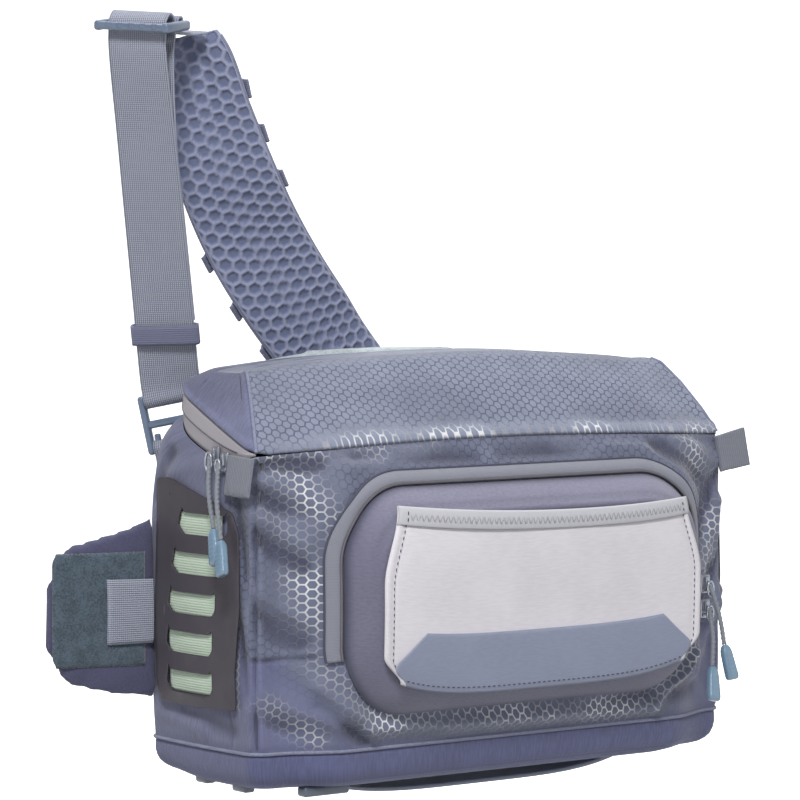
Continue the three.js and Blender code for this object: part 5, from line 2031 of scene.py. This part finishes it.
# Tabs and straps.
@dataclass
class PullTabs(Part):
    """The short folded tabs at the front's upper corners."""

    wide: float = 25.0
    drop: float = 24.0
    thick: float = 1.15

    def build(self) -> None:
        """Builds both tabs, each folded at its foot."""
        side, front = BODY.half_width, BODY.corner_y - SEAT
        right_x = side - 10 + self.wide / 2
        self.tab(Side.LEFT, lambda v, off: (-(side + off + 3 * v), 18.5 + 1.2 * v, 204 - self.drop * v), 0.9)
        self.tab(Side.RIGHT, lambda v, off: (right_x + 5 * v, front - off, 206 - self.drop * v), 1.3)

    def tab(self, side: Side, place: Callable[[float, float], tuple], foot: float) -> None:
        """Builds one tab.

        Args:
            side: the corner that it hangs from.
            place: a place by the share of the drop and the distance off the bag.
            foot: how far off the bag the fold lies.
        """
        outer, inner = 1.9, 0.65
        shares = [0.0, 0.3, 0.6, 0.9]
        down, up = [place(v, outer) for v in shares], [place(v, inner) for v in shares[::-1]]
        line = [*down, place(1.0, foot), *up]
        across = (0, 1, 0) if side is Side.LEFT else (1, 0, 0.08)
        self.strip(line, [across] * len(line), self.wide, self.thick, 80,
                   f"tab_{side.word}", "tab_webbing", "webbing", f"pull_tab_{side.word}")


@dataclass(frozen=True)
class StrapRow:
    """A station of the padded strap, from the back panel's face and the body's front edge."""

    across: float
    behind: float
    above: float
    twist: float
    wide: float


STRAP_LINE = (
    StrapRow(16, 5.6, -6, 0, 1.00), StrapRow(-8, 5.6, 26, 0, 1.00), StrapRow(-39, 5.6, 60, -4, 1.00),
    StrapRow(-72, 0, 94, -14, 1.00), StrapRow(-101, -5, 130, -24, 1.00), StrapRow(-126, -12, 168, -34, 0.98),
    StrapRow(-143, -15, 206, -42, 0.90), StrapRow(-154, -18, 240, -50, 0.78),
    StrapRow(-160, -19, 255, -54, 0.66),
)


@dataclass(frozen=True)
class Axes:
    """A place and three directions square to each other."""

    centre: Grid
    right: Grid
    up: Grid
    depth: Grid

    def at(self, right: float, up: float, depth: float = 0.0) -> Grid:
        """A place by its distances along the directions."""
        return self.centre + self.right * right + self.up * up + self.depth * depth


def unit(vector: Sequence[float]) -> Grid:
    """A vector of length 1."""
    array = np.asarray(vector, dtype=float)
    return array / np.linalg.norm(array)


def turned(angle: float) -> tuple[Grid, Grid]:
    """The width direction and the one square to it, at an angle about the vertical."""
    a = math.radians(angle)
    return np.array([math.cos(a), math.sin(a), 0.0]), np.array([-math.sin(a), math.cos(a), 0.0])


def block(bm: bmesh.types.BMesh, axes: Axes, size: Sequence[float], radius: float, segments: int = 3) -> None:
    """Adds a box with rounded edges, centred on the axes and laid along them.

    Args:
        bm: the geometry to add to.
        axes: the box's middle and directions.
        size: its size along right, up and depth.
        radius: the edges' radius.
        segments: how many faces round an edge.
    """
    verts = bmesh.ops.create_cube(bm, size=1.0)["verts"]
    turn = Matrix((Vector(axes.right), Vector(axes.up), Vector(axes.depth))).transposed().to_4x4()
    scale = Matrix.Diagonal((size[0] * MM, size[1] * MM, size[2] * MM, 1.0))
    bmesh.ops.transform(bm, matrix=Matrix.Translation(DATUM.point(axes.centre)) @ turn @ scale, verts=verts)
    edges = list({edge for vert in verts for edge in vert.link_edges})
    bmesh.ops.bevel(bm, geom=edges, offset=radius * MM, segments=segments, profile=0.5,
                    affect="EDGES", material=-1)


def moved(axes: Axes, right: float, up: float, depth: float = 0.0) -> Axes:
    """The same directions from another place."""
    return Axes(axes.at(right, up, depth), axes.right, axes.up, axes.depth)


@dataclass
class Sling(Part):
    """The sling strap: its padded half, its webbing half and the buckles between them."""

    pad_wide: float = 62.0
    pad_thick: float = 10.0
    cell: float = 9.3
    web_wide: float = 38.0
    web_thick: float = 1.8
    ladder_long: float = 50.0
    ladder_deep: float = 36.0
    ladder_thick: float = 5.0
    bar: float = 5.0
    buckle_long: float = 48.0
    buckle_tall: float = 38.0
    buckle_thick: float = 6.0
    bands: int = 7
    first_band: float = 0.215
    last_band: float = 0.87
    band_tall: float = 12.0

    def build(self) -> None:
        """Builds the strap from its pad to its anchor."""
        self.pad()
        self.cross_bands()
        self.webbing()
        self.keeper()
        self.pad_loop()
        self.ladder_lock()
        self.lower_buckle()
        self.anchor()

    def back_face(self) -> float:
        """The y of the back panel's outer face."""
        return BODY.back_face() + 0.6 + 11

    def station(self, row: StrapRow) -> Grid:
        """A station's place."""
        return np.array([row.across, self.back_face() + row.behind, BODY.height + row.above])

    def pad_run(self, count: int) -> tuple[Grid, Grid, Grid]:
        """The pad's centre line, width directions and widths.

        Args:
            count: how many points the line gets.

        Returns:
            The three arrays.
        """
        rows = []
        for row in STRAP_LINE:
            across, _ = turned(row.twist)
            rows.append(np.concatenate([self.station(row), across, [self.pad_wide * row.wide]]))
        run = flowing(rows, count)
        return run[:, :3], run[:, 3:6], run[:, 6]

    def pad(self) -> None:
        """The padded strap: a rounded section whose mesh cells are real hollows."""
        line, across, wide = self.pad_run(290)
        run = tangents(line)
        square = squared(across, run)
        normal = np.cross(run, square)
        turn = np.linspace(0, 2 * np.pi, 141)
        flat = squarer(np.cos(turn), 0.75)
        deep = squarer(np.sin(turn), 0.42)
        share = np.linspace(0, 1, len(line))[:, None]
        end = np.minimum(1.0, 0.35 + 0.65 * smooth(np.minimum(share, 1 - share) / 0.02))
        fold = 1.3 * np.sin(flat * 8.0) * smooth((share - 0.84) / 0.12)
        half = (self.pad_thick / 2 - 0.2) * end
        lengths = run_lengths(line)
        u = flat[None, :] * wide[:, None] / 2
        face = smooth((np.abs(deep) - 0.52) / 0.16)[None, :]
        cell = self.hollows(u, lengths[:, None] + 0 * u) * face
        hollow = 1.6 * cell
        off = deep[None, :] * (half - hollow) + fold * np.abs(deep)[None, :]
        points = line[:, None] + square[:, None] * u[..., None] + normal[:, None] * off[..., None]
        uv = np.stack([u + 200 * (deep[None, :] > 0), lengths[:, None] + 0 * u], -1)
        cloth = Cloth(points, uv, closed=True, capped=True, marks={"cell": cell})
        piece = cloth.piece("strap_cushion", [self.finishes["strap_mesh"]])
        carried(piece, "strap_mesh", "strap_pad")
        for side in Side:
            edge = line + square * (side.value * (wide / 2 - 0.2))[:, None] + normal * 0.2
            self.pipe(edge[4:-4], 1.5, f"strap_edge_{side.word}", "piping", "strap_mesh")

    def hollows(self, across: Grid, up: Grid) -> Grid:
        """A honeycomb of soft hollows, 1 in the middle of each and 0 on the ribs.

        Args:
            across: places across the pad.
            up: places along it.

        Returns:
            The value at each place.
        """
        x, y = up / self.cell, across / self.cell
        tall = math.sqrt(3)
        first = np.stack([np.mod(x, 1.0) - 0.5, np.mod(y, tall) - tall / 2], -1)
        other = np.stack([np.mod(x - 0.5, 1.0) - 0.5, np.mod(y - tall / 2, tall) - tall / 2], -1)
        nearer = np.sum(first**2, -1) < np.sum(other**2, -1)
        local = np.abs(np.where(nearer[..., None], first, other))
        slant = local[..., 0] * 0.5 + local[..., 1] * tall / 2
        return smooth((0.5 - np.maximum(slant, local[..., 0]) - 0.055) / 0.13)

    def cross_bands(self) -> None:
        """The flat bands across the strap's outer face, their ends past its edges."""
        line, across, wide = self.pad_run(290)
        for k in range(self.bands):
            share = blend(self.first_band, self.last_band, k / (self.bands - 1))
            i = int(round(share * (len(line) - 1)))
            run = unit(line[i + 1] - line[i - 1])
            square = unit(across[i] - across[i].dot(run) * run)
            normal = np.cross(run, square)
            outer = normal if normal[1] > 0 else -normal
            u = np.linspace(-0.5, 0.5, 41)
            lift = self.pad_thick / 2 + 1.9 - 5.2 * smooth((np.abs(u) - 0.40) / 0.10)
            reach = (wide[i] + 4) * u + (1.4 if k > 3 else -2.6)
            points = line[i] + square * reach[:, None] + outer * lift[:, None]
            cloth = ribbon(points, np.broadcast_to(run, points.shape), self.band_tall, cols=8)
            self.wear(cloth, f"cross_band_{k + 1}", "cross_webbing", "band_webbing", f"strap_band_{k + 1}",
                      thick=1.8, offset=0.0)

    def ladder(self) -> Axes:
        """The ladder lock's place: its length, its depth and its face's direction."""
        across, through = turned(-57)
        top = np.array([-218.0, self.back_face() - 43, BODY.height + 260])
        right, up = unit(across + np.array([0, 0, -0.06])), unit(through + np.array([0, 0, 0.1]))
        return Axes(top + through * self.ladder_deep / 2, right, up, unit(np.cross(right, up)))

    def buckle(self) -> Axes:
        """The lower buckle's place: its length, its height and its face's direction."""
        across, _ = turned(-46)
        up = unit((-0.17, 0.12, 1))
        right = unit(across - across.dot(up) * up)
        centre = np.array([-152.0, self.back_face() + 3, BODY.height + 14])
        return Axes(centre, right, up, unit(np.cross(right, up)))

    def web_run(self) -> tuple[Grid, Grid]:
        """The webbing's places and width directions, from the lower buckle up and back.

        Returns:
            The two arrays.
        """
        lock, buckle = self.ladder(), self.buckle()
        vertical = np.array([0, 0, 1.0])
        high = self.ladder_thick / 2 + self.web_thick / 2 + 0.6
        slot = ((self.ladder_deep - 3 * self.bar) / 2 + self.bar) / 2
        top_bar = self.buckle_tall / 2 - self.bar / 2
        off = self.buckle_thick / 2 + self.web_thick / 2 + 1
        under = top_bar - self.bar / 2 - 2.5
        start = buckle.at(0, top_bar + 5, off)
        end = lock.at(0, -slot) - vertical * 14
        back = [blend(start, end, t) - buckle.depth * (self.web_thick + 1.6) for t in (0.72, 0.5, 0.2)]
        line = [
            buckle.at(0, top_bar + 6, -off), buckle.at(0, top_bar - 2, -off - 0.3), buckle.at(0, under, -2.4),
            buckle.at(0, under, 2.4), buckle.at(0, top_bar - 2, off + 0.3), start,
            *[blend(start, end, t) for t in (0.25, 0.5, 0.75)], end,
            lock.at(0, -slot) - vertical * 3, lock.at(0, 1 - slot) + vertical * (high - 0.6),
            lock.at(0, -1.8) + vertical * (high + 3.4), lock.at(0, 1.8) + vertical * (high + 3.4),
            lock.at(0, slot - 1) + vertical * (high - 0.6), lock.at(0, slot) - vertical * 3,
            lock.at(0, slot - 3) - vertical * 16, *back,
        ]
        shares = [0, 0, 0, 0, 0, 0, 0.25, 0.5, 0.75, 1, 1, 1, 1, 1, 1, 1, 1, 0.72, 0.5, 0.2]
        across = [unit(blend(buckle.right, lock.right, share)) for share in shares]
        return np.array(line), np.array(across)

    def webbing(self) -> None:
        """The adjusting webbing."""
        line, across = self.web_run()
        self.strip(line, across, self.web_wide, self.web_thick, 420,
                   "sling_webbing", "strap_webbing", "webbing", "strap_webbing")

    def keeper(self) -> None:
        """The sewn loop round the webbing."""
        line, across = self.web_run()
        run = unit(line[9] - line[5])
        centre = blend(line[5], line[9], 0.16)
        square = unit(across[6] - across[6].dot(run) * run)
        normal = np.cross(run, square)
        turn = np.linspace(0, 2 * np.pi, 61)
        x = squarer(np.cos(turn), 0.35) * (self.web_wide / 2 + 2.1)
        y = squarer(np.sin(turn), 0.35) * (self.web_thick + 1.6)
        loop = centre + square * x[:, None] + normal * y[:, None] - normal * 0.6
        cloth = ribbon(loop, np.broadcast_to(run, loop.shape), 12.5, cols=6)
        self.wear(cloth, "webbing_keeper", "cross_webbing", "webbing", "strap_keeper", thick=1.4, offset=0.0)

    def pad_loop(self) -> None:
        """The loop in the pad's upper end that holds the ladder lock's rear bar."""
        lock = self.ladder()
        vertical = np.array([0, 0, 1.0])
        reach = self.bar / 2 + self.web_thick / 2 + 0.9
        high = self.ladder_thick / 2 + self.web_thick / 2 + 0.8
        centre = self.ladder_deep / 2 - self.bar / 2
        places = ((-reach, -high - 2), (-reach, 0), (-reach * 0.6, high), (reach * 0.6, high), (reach, 0),
                  (reach + 0.4, -high))
        line = [lock.at(0, centre + share) + vertical * rise for share, rise in places]
        line.append(self.station(STRAP_LINE[-1]) + vertical * 2.5)
        self.strip(line, [lock.right] * len(line), self.web_wide, self.web_thick, 80,
                   "pad_end_loop", "strap_webbing", "webbing", "strap_pad_loop")

    def grate(self, bm: bmesh.types.BMesh, axes: Axes, bars: Sequence[float], rails: Sequence[float],
              segments: int) -> None:
        """Adds a buckle's three bars and two rails.

        Args:
            bm: the mesh to add to.
            axes: the buckle's place.
            bars: the bars' length, thickness and edge radius.
            rails: the width over the rails, their length, thickness and edge radius.
            segments: how finely the rails' edges are rounded.
        """
        reach = (rails[1] - self.bar) / 2
        for up in (-reach, 0.0, reach):
            block(bm, moved(axes, 0, up), (bars[0], self.bar, bars[1]), bars[2])
        for side in Side:
            rail = moved(axes, side.value * (rails[0] - self.bar) / 2, 0)
            block(bm, rail, (self.bar, *rails[1:3]), rails[3], segments)

    def ladder_lock(self) -> None:
        """The ladder lock: two rails, three bars and small teeth on the front bar."""
        lock = self.ladder()
        bm = bmesh.new()
        self.grate(bm, lock, (self.ladder_long - 4, self.ladder_thick, 1.7),
                   (self.ladder_long, self.ladder_deep, self.ladder_thick + 1.2, 1.8), 3)
        for k in range(5):
            tooth = moved(lock, (k - 2) * 7.6, (self.bar - self.ladder_deep) / 2 - 1.6, 0.8)
            block(bm, tooth, (3.6, 2.6, 3.6), 0.9, 2)
        self.cast(bm, "ladder_lock_body", "buckle_plastic", "buckle_plastic", "ladder_lock")

    def lower_buckle(self) -> None:
        """The lower buckle: two rails, three bars and a prong at its left."""
        buckle = self.buckle()
        bm = bmesh.new()
        self.grate(bm, buckle, (self.buckle_long - 5, self.buckle_thick - 1, 1.9),
                   (self.buckle_long, self.buckle_tall, self.buckle_thick, 2.1), 4)
        low = (self.bar - self.buckle_tall) / 4 - 1
        block(bm, moved(buckle, -self.buckle_long / 2 + 8, low, 0.5), (4, 6, 3.4), 1.2)
        self.cast(bm, "lower_buckle_body", "buckle_plastic", "buckle_plastic", "lower_buckle")

    def anchor(self) -> None:
        """The short webbing that ties the lower buckle to the bag's back edge."""
        buckle = self.buckle()
        low = -self.buckle_tall / 2 + self.bar / 2
        off = self.buckle_thick / 2 + self.web_thick / 2 + 1
        over = low + self.bar / 2 + 2.5
        seam = np.array([-151.0, BODY.back_face() + 2.4, BODY.height - 34])
        line = [
            seam, seam + np.array([0, 1, 8]), buckle.at(0, low - 6, off - 0.4),
            buckle.at(0, low + 2, off + 0.4), buckle.at(0, over, 2.4), buckle.at(0, over, -2.4),
            buckle.at(0, low + 2, -off - 0.3),
            buckle.at(0, low - 6, -off - 0.3), seam + np.array([0, 3.8, 8]), seam + np.array([0, 2.6, 0]),
        ]
        flat = np.array([1.0, 0, 0])
        across = [flat, flat, *[buckle.right] * 6, flat, flat]
        self.strip(line, across, self.web_wide, self.web_thick, 120,
                   "anchor_band", "strap_webbing", "webbing", "anchor_webbing")


# Zip pulls.
@dataclass(frozen=True)
class Pull:
    """One zip pull: where its slider sits, which way it faces and where its cord ends."""

    at: Grid
    out: Grid
    across: Grid
    end: Grid
    bail: float


@dataclass
class ZipPulls(Part):
    """The sliders, their bails, cords and grips."""

    cord: float = 2.6
    slider: tuple[float, float, float] = (8.0, 12.0, 4.5)
    tip: tuple[float, float, float] = (9.0, 23.0, 6.0)

    def pulls(self) -> tuple[Pull, ...]:
        """The four pulls: two on the lid's zip, two on the pocket's."""
        half = self.slider[2] / 2
        left, front, right = np.array([-1.0, 0, 0]), np.array([0, -1.0, 0]), np.array([1.0, 0, 0])

        def on_side(y: float, z: float) -> Grid:
            """A slider's place on the bag's left end."""
            seat = float(BODY.side_x(np.array(y), np.array(z - self.slider[1] / 2)))
            return np.array([-seat - SEAT - half, y, z])

        def on_front(x: float, z: float) -> Grid:
            """A slider's place on the pocket's tape."""
            seat = float(BODY.front_y(np.array(x - self.slider[0] / 2), np.array(z)))
            return np.array([x, seat - 3.4 - half, z])

        return (
            Pull(on_side(46, 203), left, front, np.array([-204.0, 28, 161]), 6.0),
            Pull(on_side(36, 200), left, front, np.array([-207.0, 16, 155]), 4.4),
            Pull(on_front(150.5, 110), front, right, np.array([153.0, -33, 72]), 4.6),
            Pull(on_front(150.5, 94), front, right, np.array([141.0, -35, 59]), 4.6),
        )

    def build(self) -> None:
        """Builds the four pulls, cords first."""
        for number, pull in enumerate(self.pulls(), start=1):
            self.one(number, pull)

    def one(self, number: int, pull: Pull) -> None:
        """Builds one pull.

        Args:
            number: the pull's number.
            pull: its place and directions.
        """
        hang = pull.at + pull.out * (self.slider[2] / 2 + self.cord / 2 + 0.4)
        middle = blend(hang, pull.end, 0.5) + pull.out * 2
        line = flowing([hang, middle, pull.end], 30)
        cord = cord_curve(f"cord_{number}", line, self.cord / 2, 4)
        cord.data.materials.append(self.finishes["pull_cord"])
        down = unit(pull.end - hang)
        grip = self.grip(number, pull, pull.end + down * 0.5, down)
        strands = self.strands(number, line)
        length = float(run_lengths(line)[-1])
        tuple(DATUM.row(hang))
        carried(cord, "pull_cord", f"zip_cord_{number}")
        self.body(number, pull, hang)

    def strands(self, number: int, line: Grid) -> list[Piece]:
        """Two strands wound round the cord's core.

        Args:
            number: the pull's number.
            line: the cord's centre line.

        Returns:
            The two pieces.
        """
        run = tangents(line)
        first = np.cross(run, np.array([0.3, 0.9, 0.2]))
        first /= np.linalg.norm(first, axis=1, keepdims=True)
        second = np.cross(run, first)
        at = np.linspace(0, run_lengths(line)[-1], 110)
        table = read_at(np.hstack([line, first, second]), at)
        place, a, b = table[:, :3], table[:, 3:6], table[:, 6:]
        made = []
        for k in range(2):
            phase = at / 6.5 * 2 * np.pi + k * np.pi
            wound = place + (a * np.cos(phase)[:, None] + b * np.sin(phase)[:, None]) * 0.85
            made.append(self.pipe(wound, 0.72, f"cord_{number}_strand_{k + 1}", "pull_cord", "pull_cord", 2))
        return made

    def grip(self, number: int, pull: Pull, top: Grid, down: Grid) -> Piece:
        """The moulded grip: narrow where the cord enters, with a flat rounded foot.

        Args:
            number: the pull's number.
            pull: its place and directions.
            top: where the cord enters.
            down: the grip's direction.

        Returns:
            The piece.
        """
        right = unit(pull.across - pull.across.dot(down) * down)
        depth = np.cross(right, down)
        rows = ((0, 0.30, 0.34), (0.02, 0.46, 0.6), (0.07, 0.60, 0.8), (0.16, 0.78, 0.94),
                (0.3, 0.86, 1.0), (0.5, 0.93, 1.0), (0.75, 0.99, 1.0), (0.9, 1.0, 0.98),
                (0.965, 0.93, 0.86), (0.99, 0.78, 0.66), (1.0, 0.6, 0.44))
        table = np.array(rows)
        share = np.concatenate([np.linspace(0, 0.9, 30), np.linspace(0.92, 1.0, 9)])
        wide = np.interp(share, table[:, 0], table[:, 1]) * self.tip[0] / 2
        thick = np.interp(share, table[:, 0], table[:, 2]) * self.tip[2] / 2
        groove = 1 - 0.10 * sum(ridge(share - level, 0.022) for level in (0.36, 0.48, 0.60, 0.72))
        turn = np.linspace(0, 2 * np.pi, 33)
        flat = squarer(np.cos(turn), 0.62)
        deep = squarer(np.sin(turn), 0.62)
        points = (top + down * (share * self.tip[1])[:, None, None]
                  + right * (flat[None, :] * wide[:, None])[..., None]
                  + depth * (deep[None, :] * (thick * groove)[:, None])[..., None])
        cloth = Cloth(points, closed=True, capped=True)
        return self.wear(cloth, f"grip_{number}", "grip_rubber", "grip_rubber", f"zip_grip_{number}")

    def body(self, number: int, pull: Pull, hang: Grid) -> None:
        """The slider's plates and bridge, and the wire bail.

        Args:
            number: the pull's number.
            pull: its place and directions.
            hang: where the cord starts.
        """
        up = np.array([0, 0, 1.0])
        axes = Axes(pull.at, pull.across, up, unit(np.cross(pull.across, up)))
        bm = bmesh.new()
        wide, tall, thick = self.slider
        block(bm, moved(axes, 0, 0, -thick * 0.22), (wide, tall, thick * 0.5), 1.0)
        block(bm, moved(axes, 0, 1.5, thick * 0.16), (wide * 0.42, tall * 0.62, thick * 0.6), 0.9)
        block(bm, moved(axes, 0, -4.2, thick * 0.02), (wide * 0.8, 2.4, thick * 0.6), 0.8)
        self.cast(bm, f"slider_{number}", "slider_metal", "slider_metal", f"zip_slider_{number}")
        turn = np.linspace(0, 2 * np.pi, 41)
        centre = hang + pull.out * 0.6 - up * (pull.bail * 0.55)
        reach = (np.cos(turn) * pull.bail * 0.55)[:, None]
        loop = centre + pull.across * reach + up * (np.sin(turn) * pull.bail)[:, None]
        self.pipe(loop, 0.8, f"bail_{number}", "slider_metal", "slider_metal")


# Underside.
@dataclass
class BaseBand(Part):
    """The wide band under the base, and the small tabs beside it."""

    half: float = 118.0
    wide: float = 44.0
    thick: float = 2.2
    drop: float = 9.0

    def build(self) -> None:
        """Builds the band and three tabs."""
        share = np.linspace(-1, 1, 25)
        line = stack(share * self.half, 52.0, -1.8 - self.drop * (1 - share**4))
        self.strip(line, [(0, 1, 0)] * len(line), self.wide, self.thick, 90,
                   "underside_band", "underside_webbing", "webbing", "base_strap")
        right, forward, up = np.eye(3)
        spots = ((-172.0, 84.0, 0.6, 8.0, 13.0), (-170.0, 46.0, -0.8, 8.0, 15.0),
                 (-134.0, 12.0, -1.8, 34.0, 9.0))
        bm = bmesh.new()
        for x, y, z, wide, deep in spots:
            block(bm, Axes(np.array([x, y, z]), right, forward, up), (wide, deep, 6.5), 1.8)
        self.cast(bm, "underside_tabs", "buckle_dark", "buckle_plastic")


# Surroundings.
@dataclass
class Stage:
    """The floor, the lights and the camera."""

    centre: tuple[float, float, float] = (0.22, 0.0, -0.34)
    floor: float = -0.62
    camera: tuple[float, float, float] = (-1.3585, -2.0659, -0.0990)
    forward: tuple[float, float, float] = (0.6010, 0.7975, -0.0523)
    lens: float = 180.0

    def build(self) -> None:
        """Builds the surroundings."""
        self.sweep()
        self.light("key", (-1.5, -1.9, 1.8), 0.7, 84.0)
        self.light("fill", (2.1, -1.9, 0.3), 2.0, 15.0)
        self.light("low", (-0.5, -1.5, -0.55), 0.8, 5.0)
        self.light("top", (0.3, 0.5, 1.6), 1.2, 24.0)
        self.light("side", (-2.4, 0.6, 0.2), 1.2, 9.0)
        world = bpy.data.worlds.new("studio")
        world.use_nodes = True
        world.node_tree.nodes["Background"].inputs["Color"].default_value = (0.96, 0.98, 1.0, 1.0)
        world.node_tree.nodes["Background"].inputs["Strength"].default_value = 0.26
        bpy.context.scene.world = world
        data = bpy.data.cameras.new("photo_camera")
        data.lens = self.lens
        data.sensor_width = 36.0
        data.clip_end = 60.0
        data.dof.use_dof = False
        view = placed("photo_camera", data)
        view.location = self.camera
        view.rotation_euler = Vector(self.forward).to_track_quat("-Z", "Y").to_euler()
        bpy.context.scene.camera = view
        bpy.context.scene.view_settings.view_transform = "Standard"

    def sweep(self) -> None:
        """The pale floor, curved up into a backdrop."""
        ahead = unit((self.forward[0], self.forward[1], 0.0))
        right = np.array([ahead[1], -ahead[0], 0.0])
        start = np.array([self.centre[0], self.centre[1], self.floor])
        profile = [(-4.5, 0.0), (-1.0, 0.0), (2.2, 0.0), (3.0, 0.10), (3.6, 0.45), (3.95, 1.1), (4.0, 2.0),
                   (4.0, 4.5)]
        run = flowing([(d, h, 0.0) for d, h in profile], 60)
        across = np.linspace(-5.0, 5.0, 12)
        points = start + ahead * run[:, 0, None, None] + right * across[None, :, None]
        points = points + np.array([0, 0, 1.0]) * run[:, 1, None, None]
        base = DATUM.origin()
        white = Graph("studio_white")
        white.shader.inputs["Emission Color"].default_value = (1.0, 1.0, 1.0, 1.0)
        material = white.surface((0.86, 0.86, 0.87), 0.9, Emission_Strength=1.0)
        piece = link("studio_sweep", Cloth((points - base) / MM).mesh("studio_sweep"), [material])
        piece.visible_diffuse = False

    def light(self, name: str, place: tuple[float, float, float], size: float, power: float) -> None:
        """Adds a soft light that points at the bag.

        Args:
            name: the light's name.
            place: where it stands, in metres.
            size: its width in metres.
            power: its power in watts.
        """
        data = bpy.data.lights.new(name, "AREA")
        data.size = size
        data.energy = power
        lamp = placed(name, data)
        lamp.location = place
        lamp.rotation_euler = (Vector(self.centre) - Vector(place)).to_track_quat("-Z", "Y").to_euler()


def write_sizes() -> None:
    """Brings the view layer up to date."""
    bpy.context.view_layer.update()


def main() -> None:
    """Builds the bag and its surroundings in order."""
    logging.basicConfig(level=logging.INFO)
    log.info("base plane, middle and front corner at %s", DATUM)
    Stage().build()
    finishes = {recipe.name: recipe.make() for recipe in FINISHES}
    parts = (ZipPulls, Shell, LidZip, FrontPocket, SidePanels, HipWings, BackPad, PullTabs, Sling, BaseBand)
    for part in parts:
        part(finishes).build()
    write_sizes()


if __name__ == "__main__":
    main()
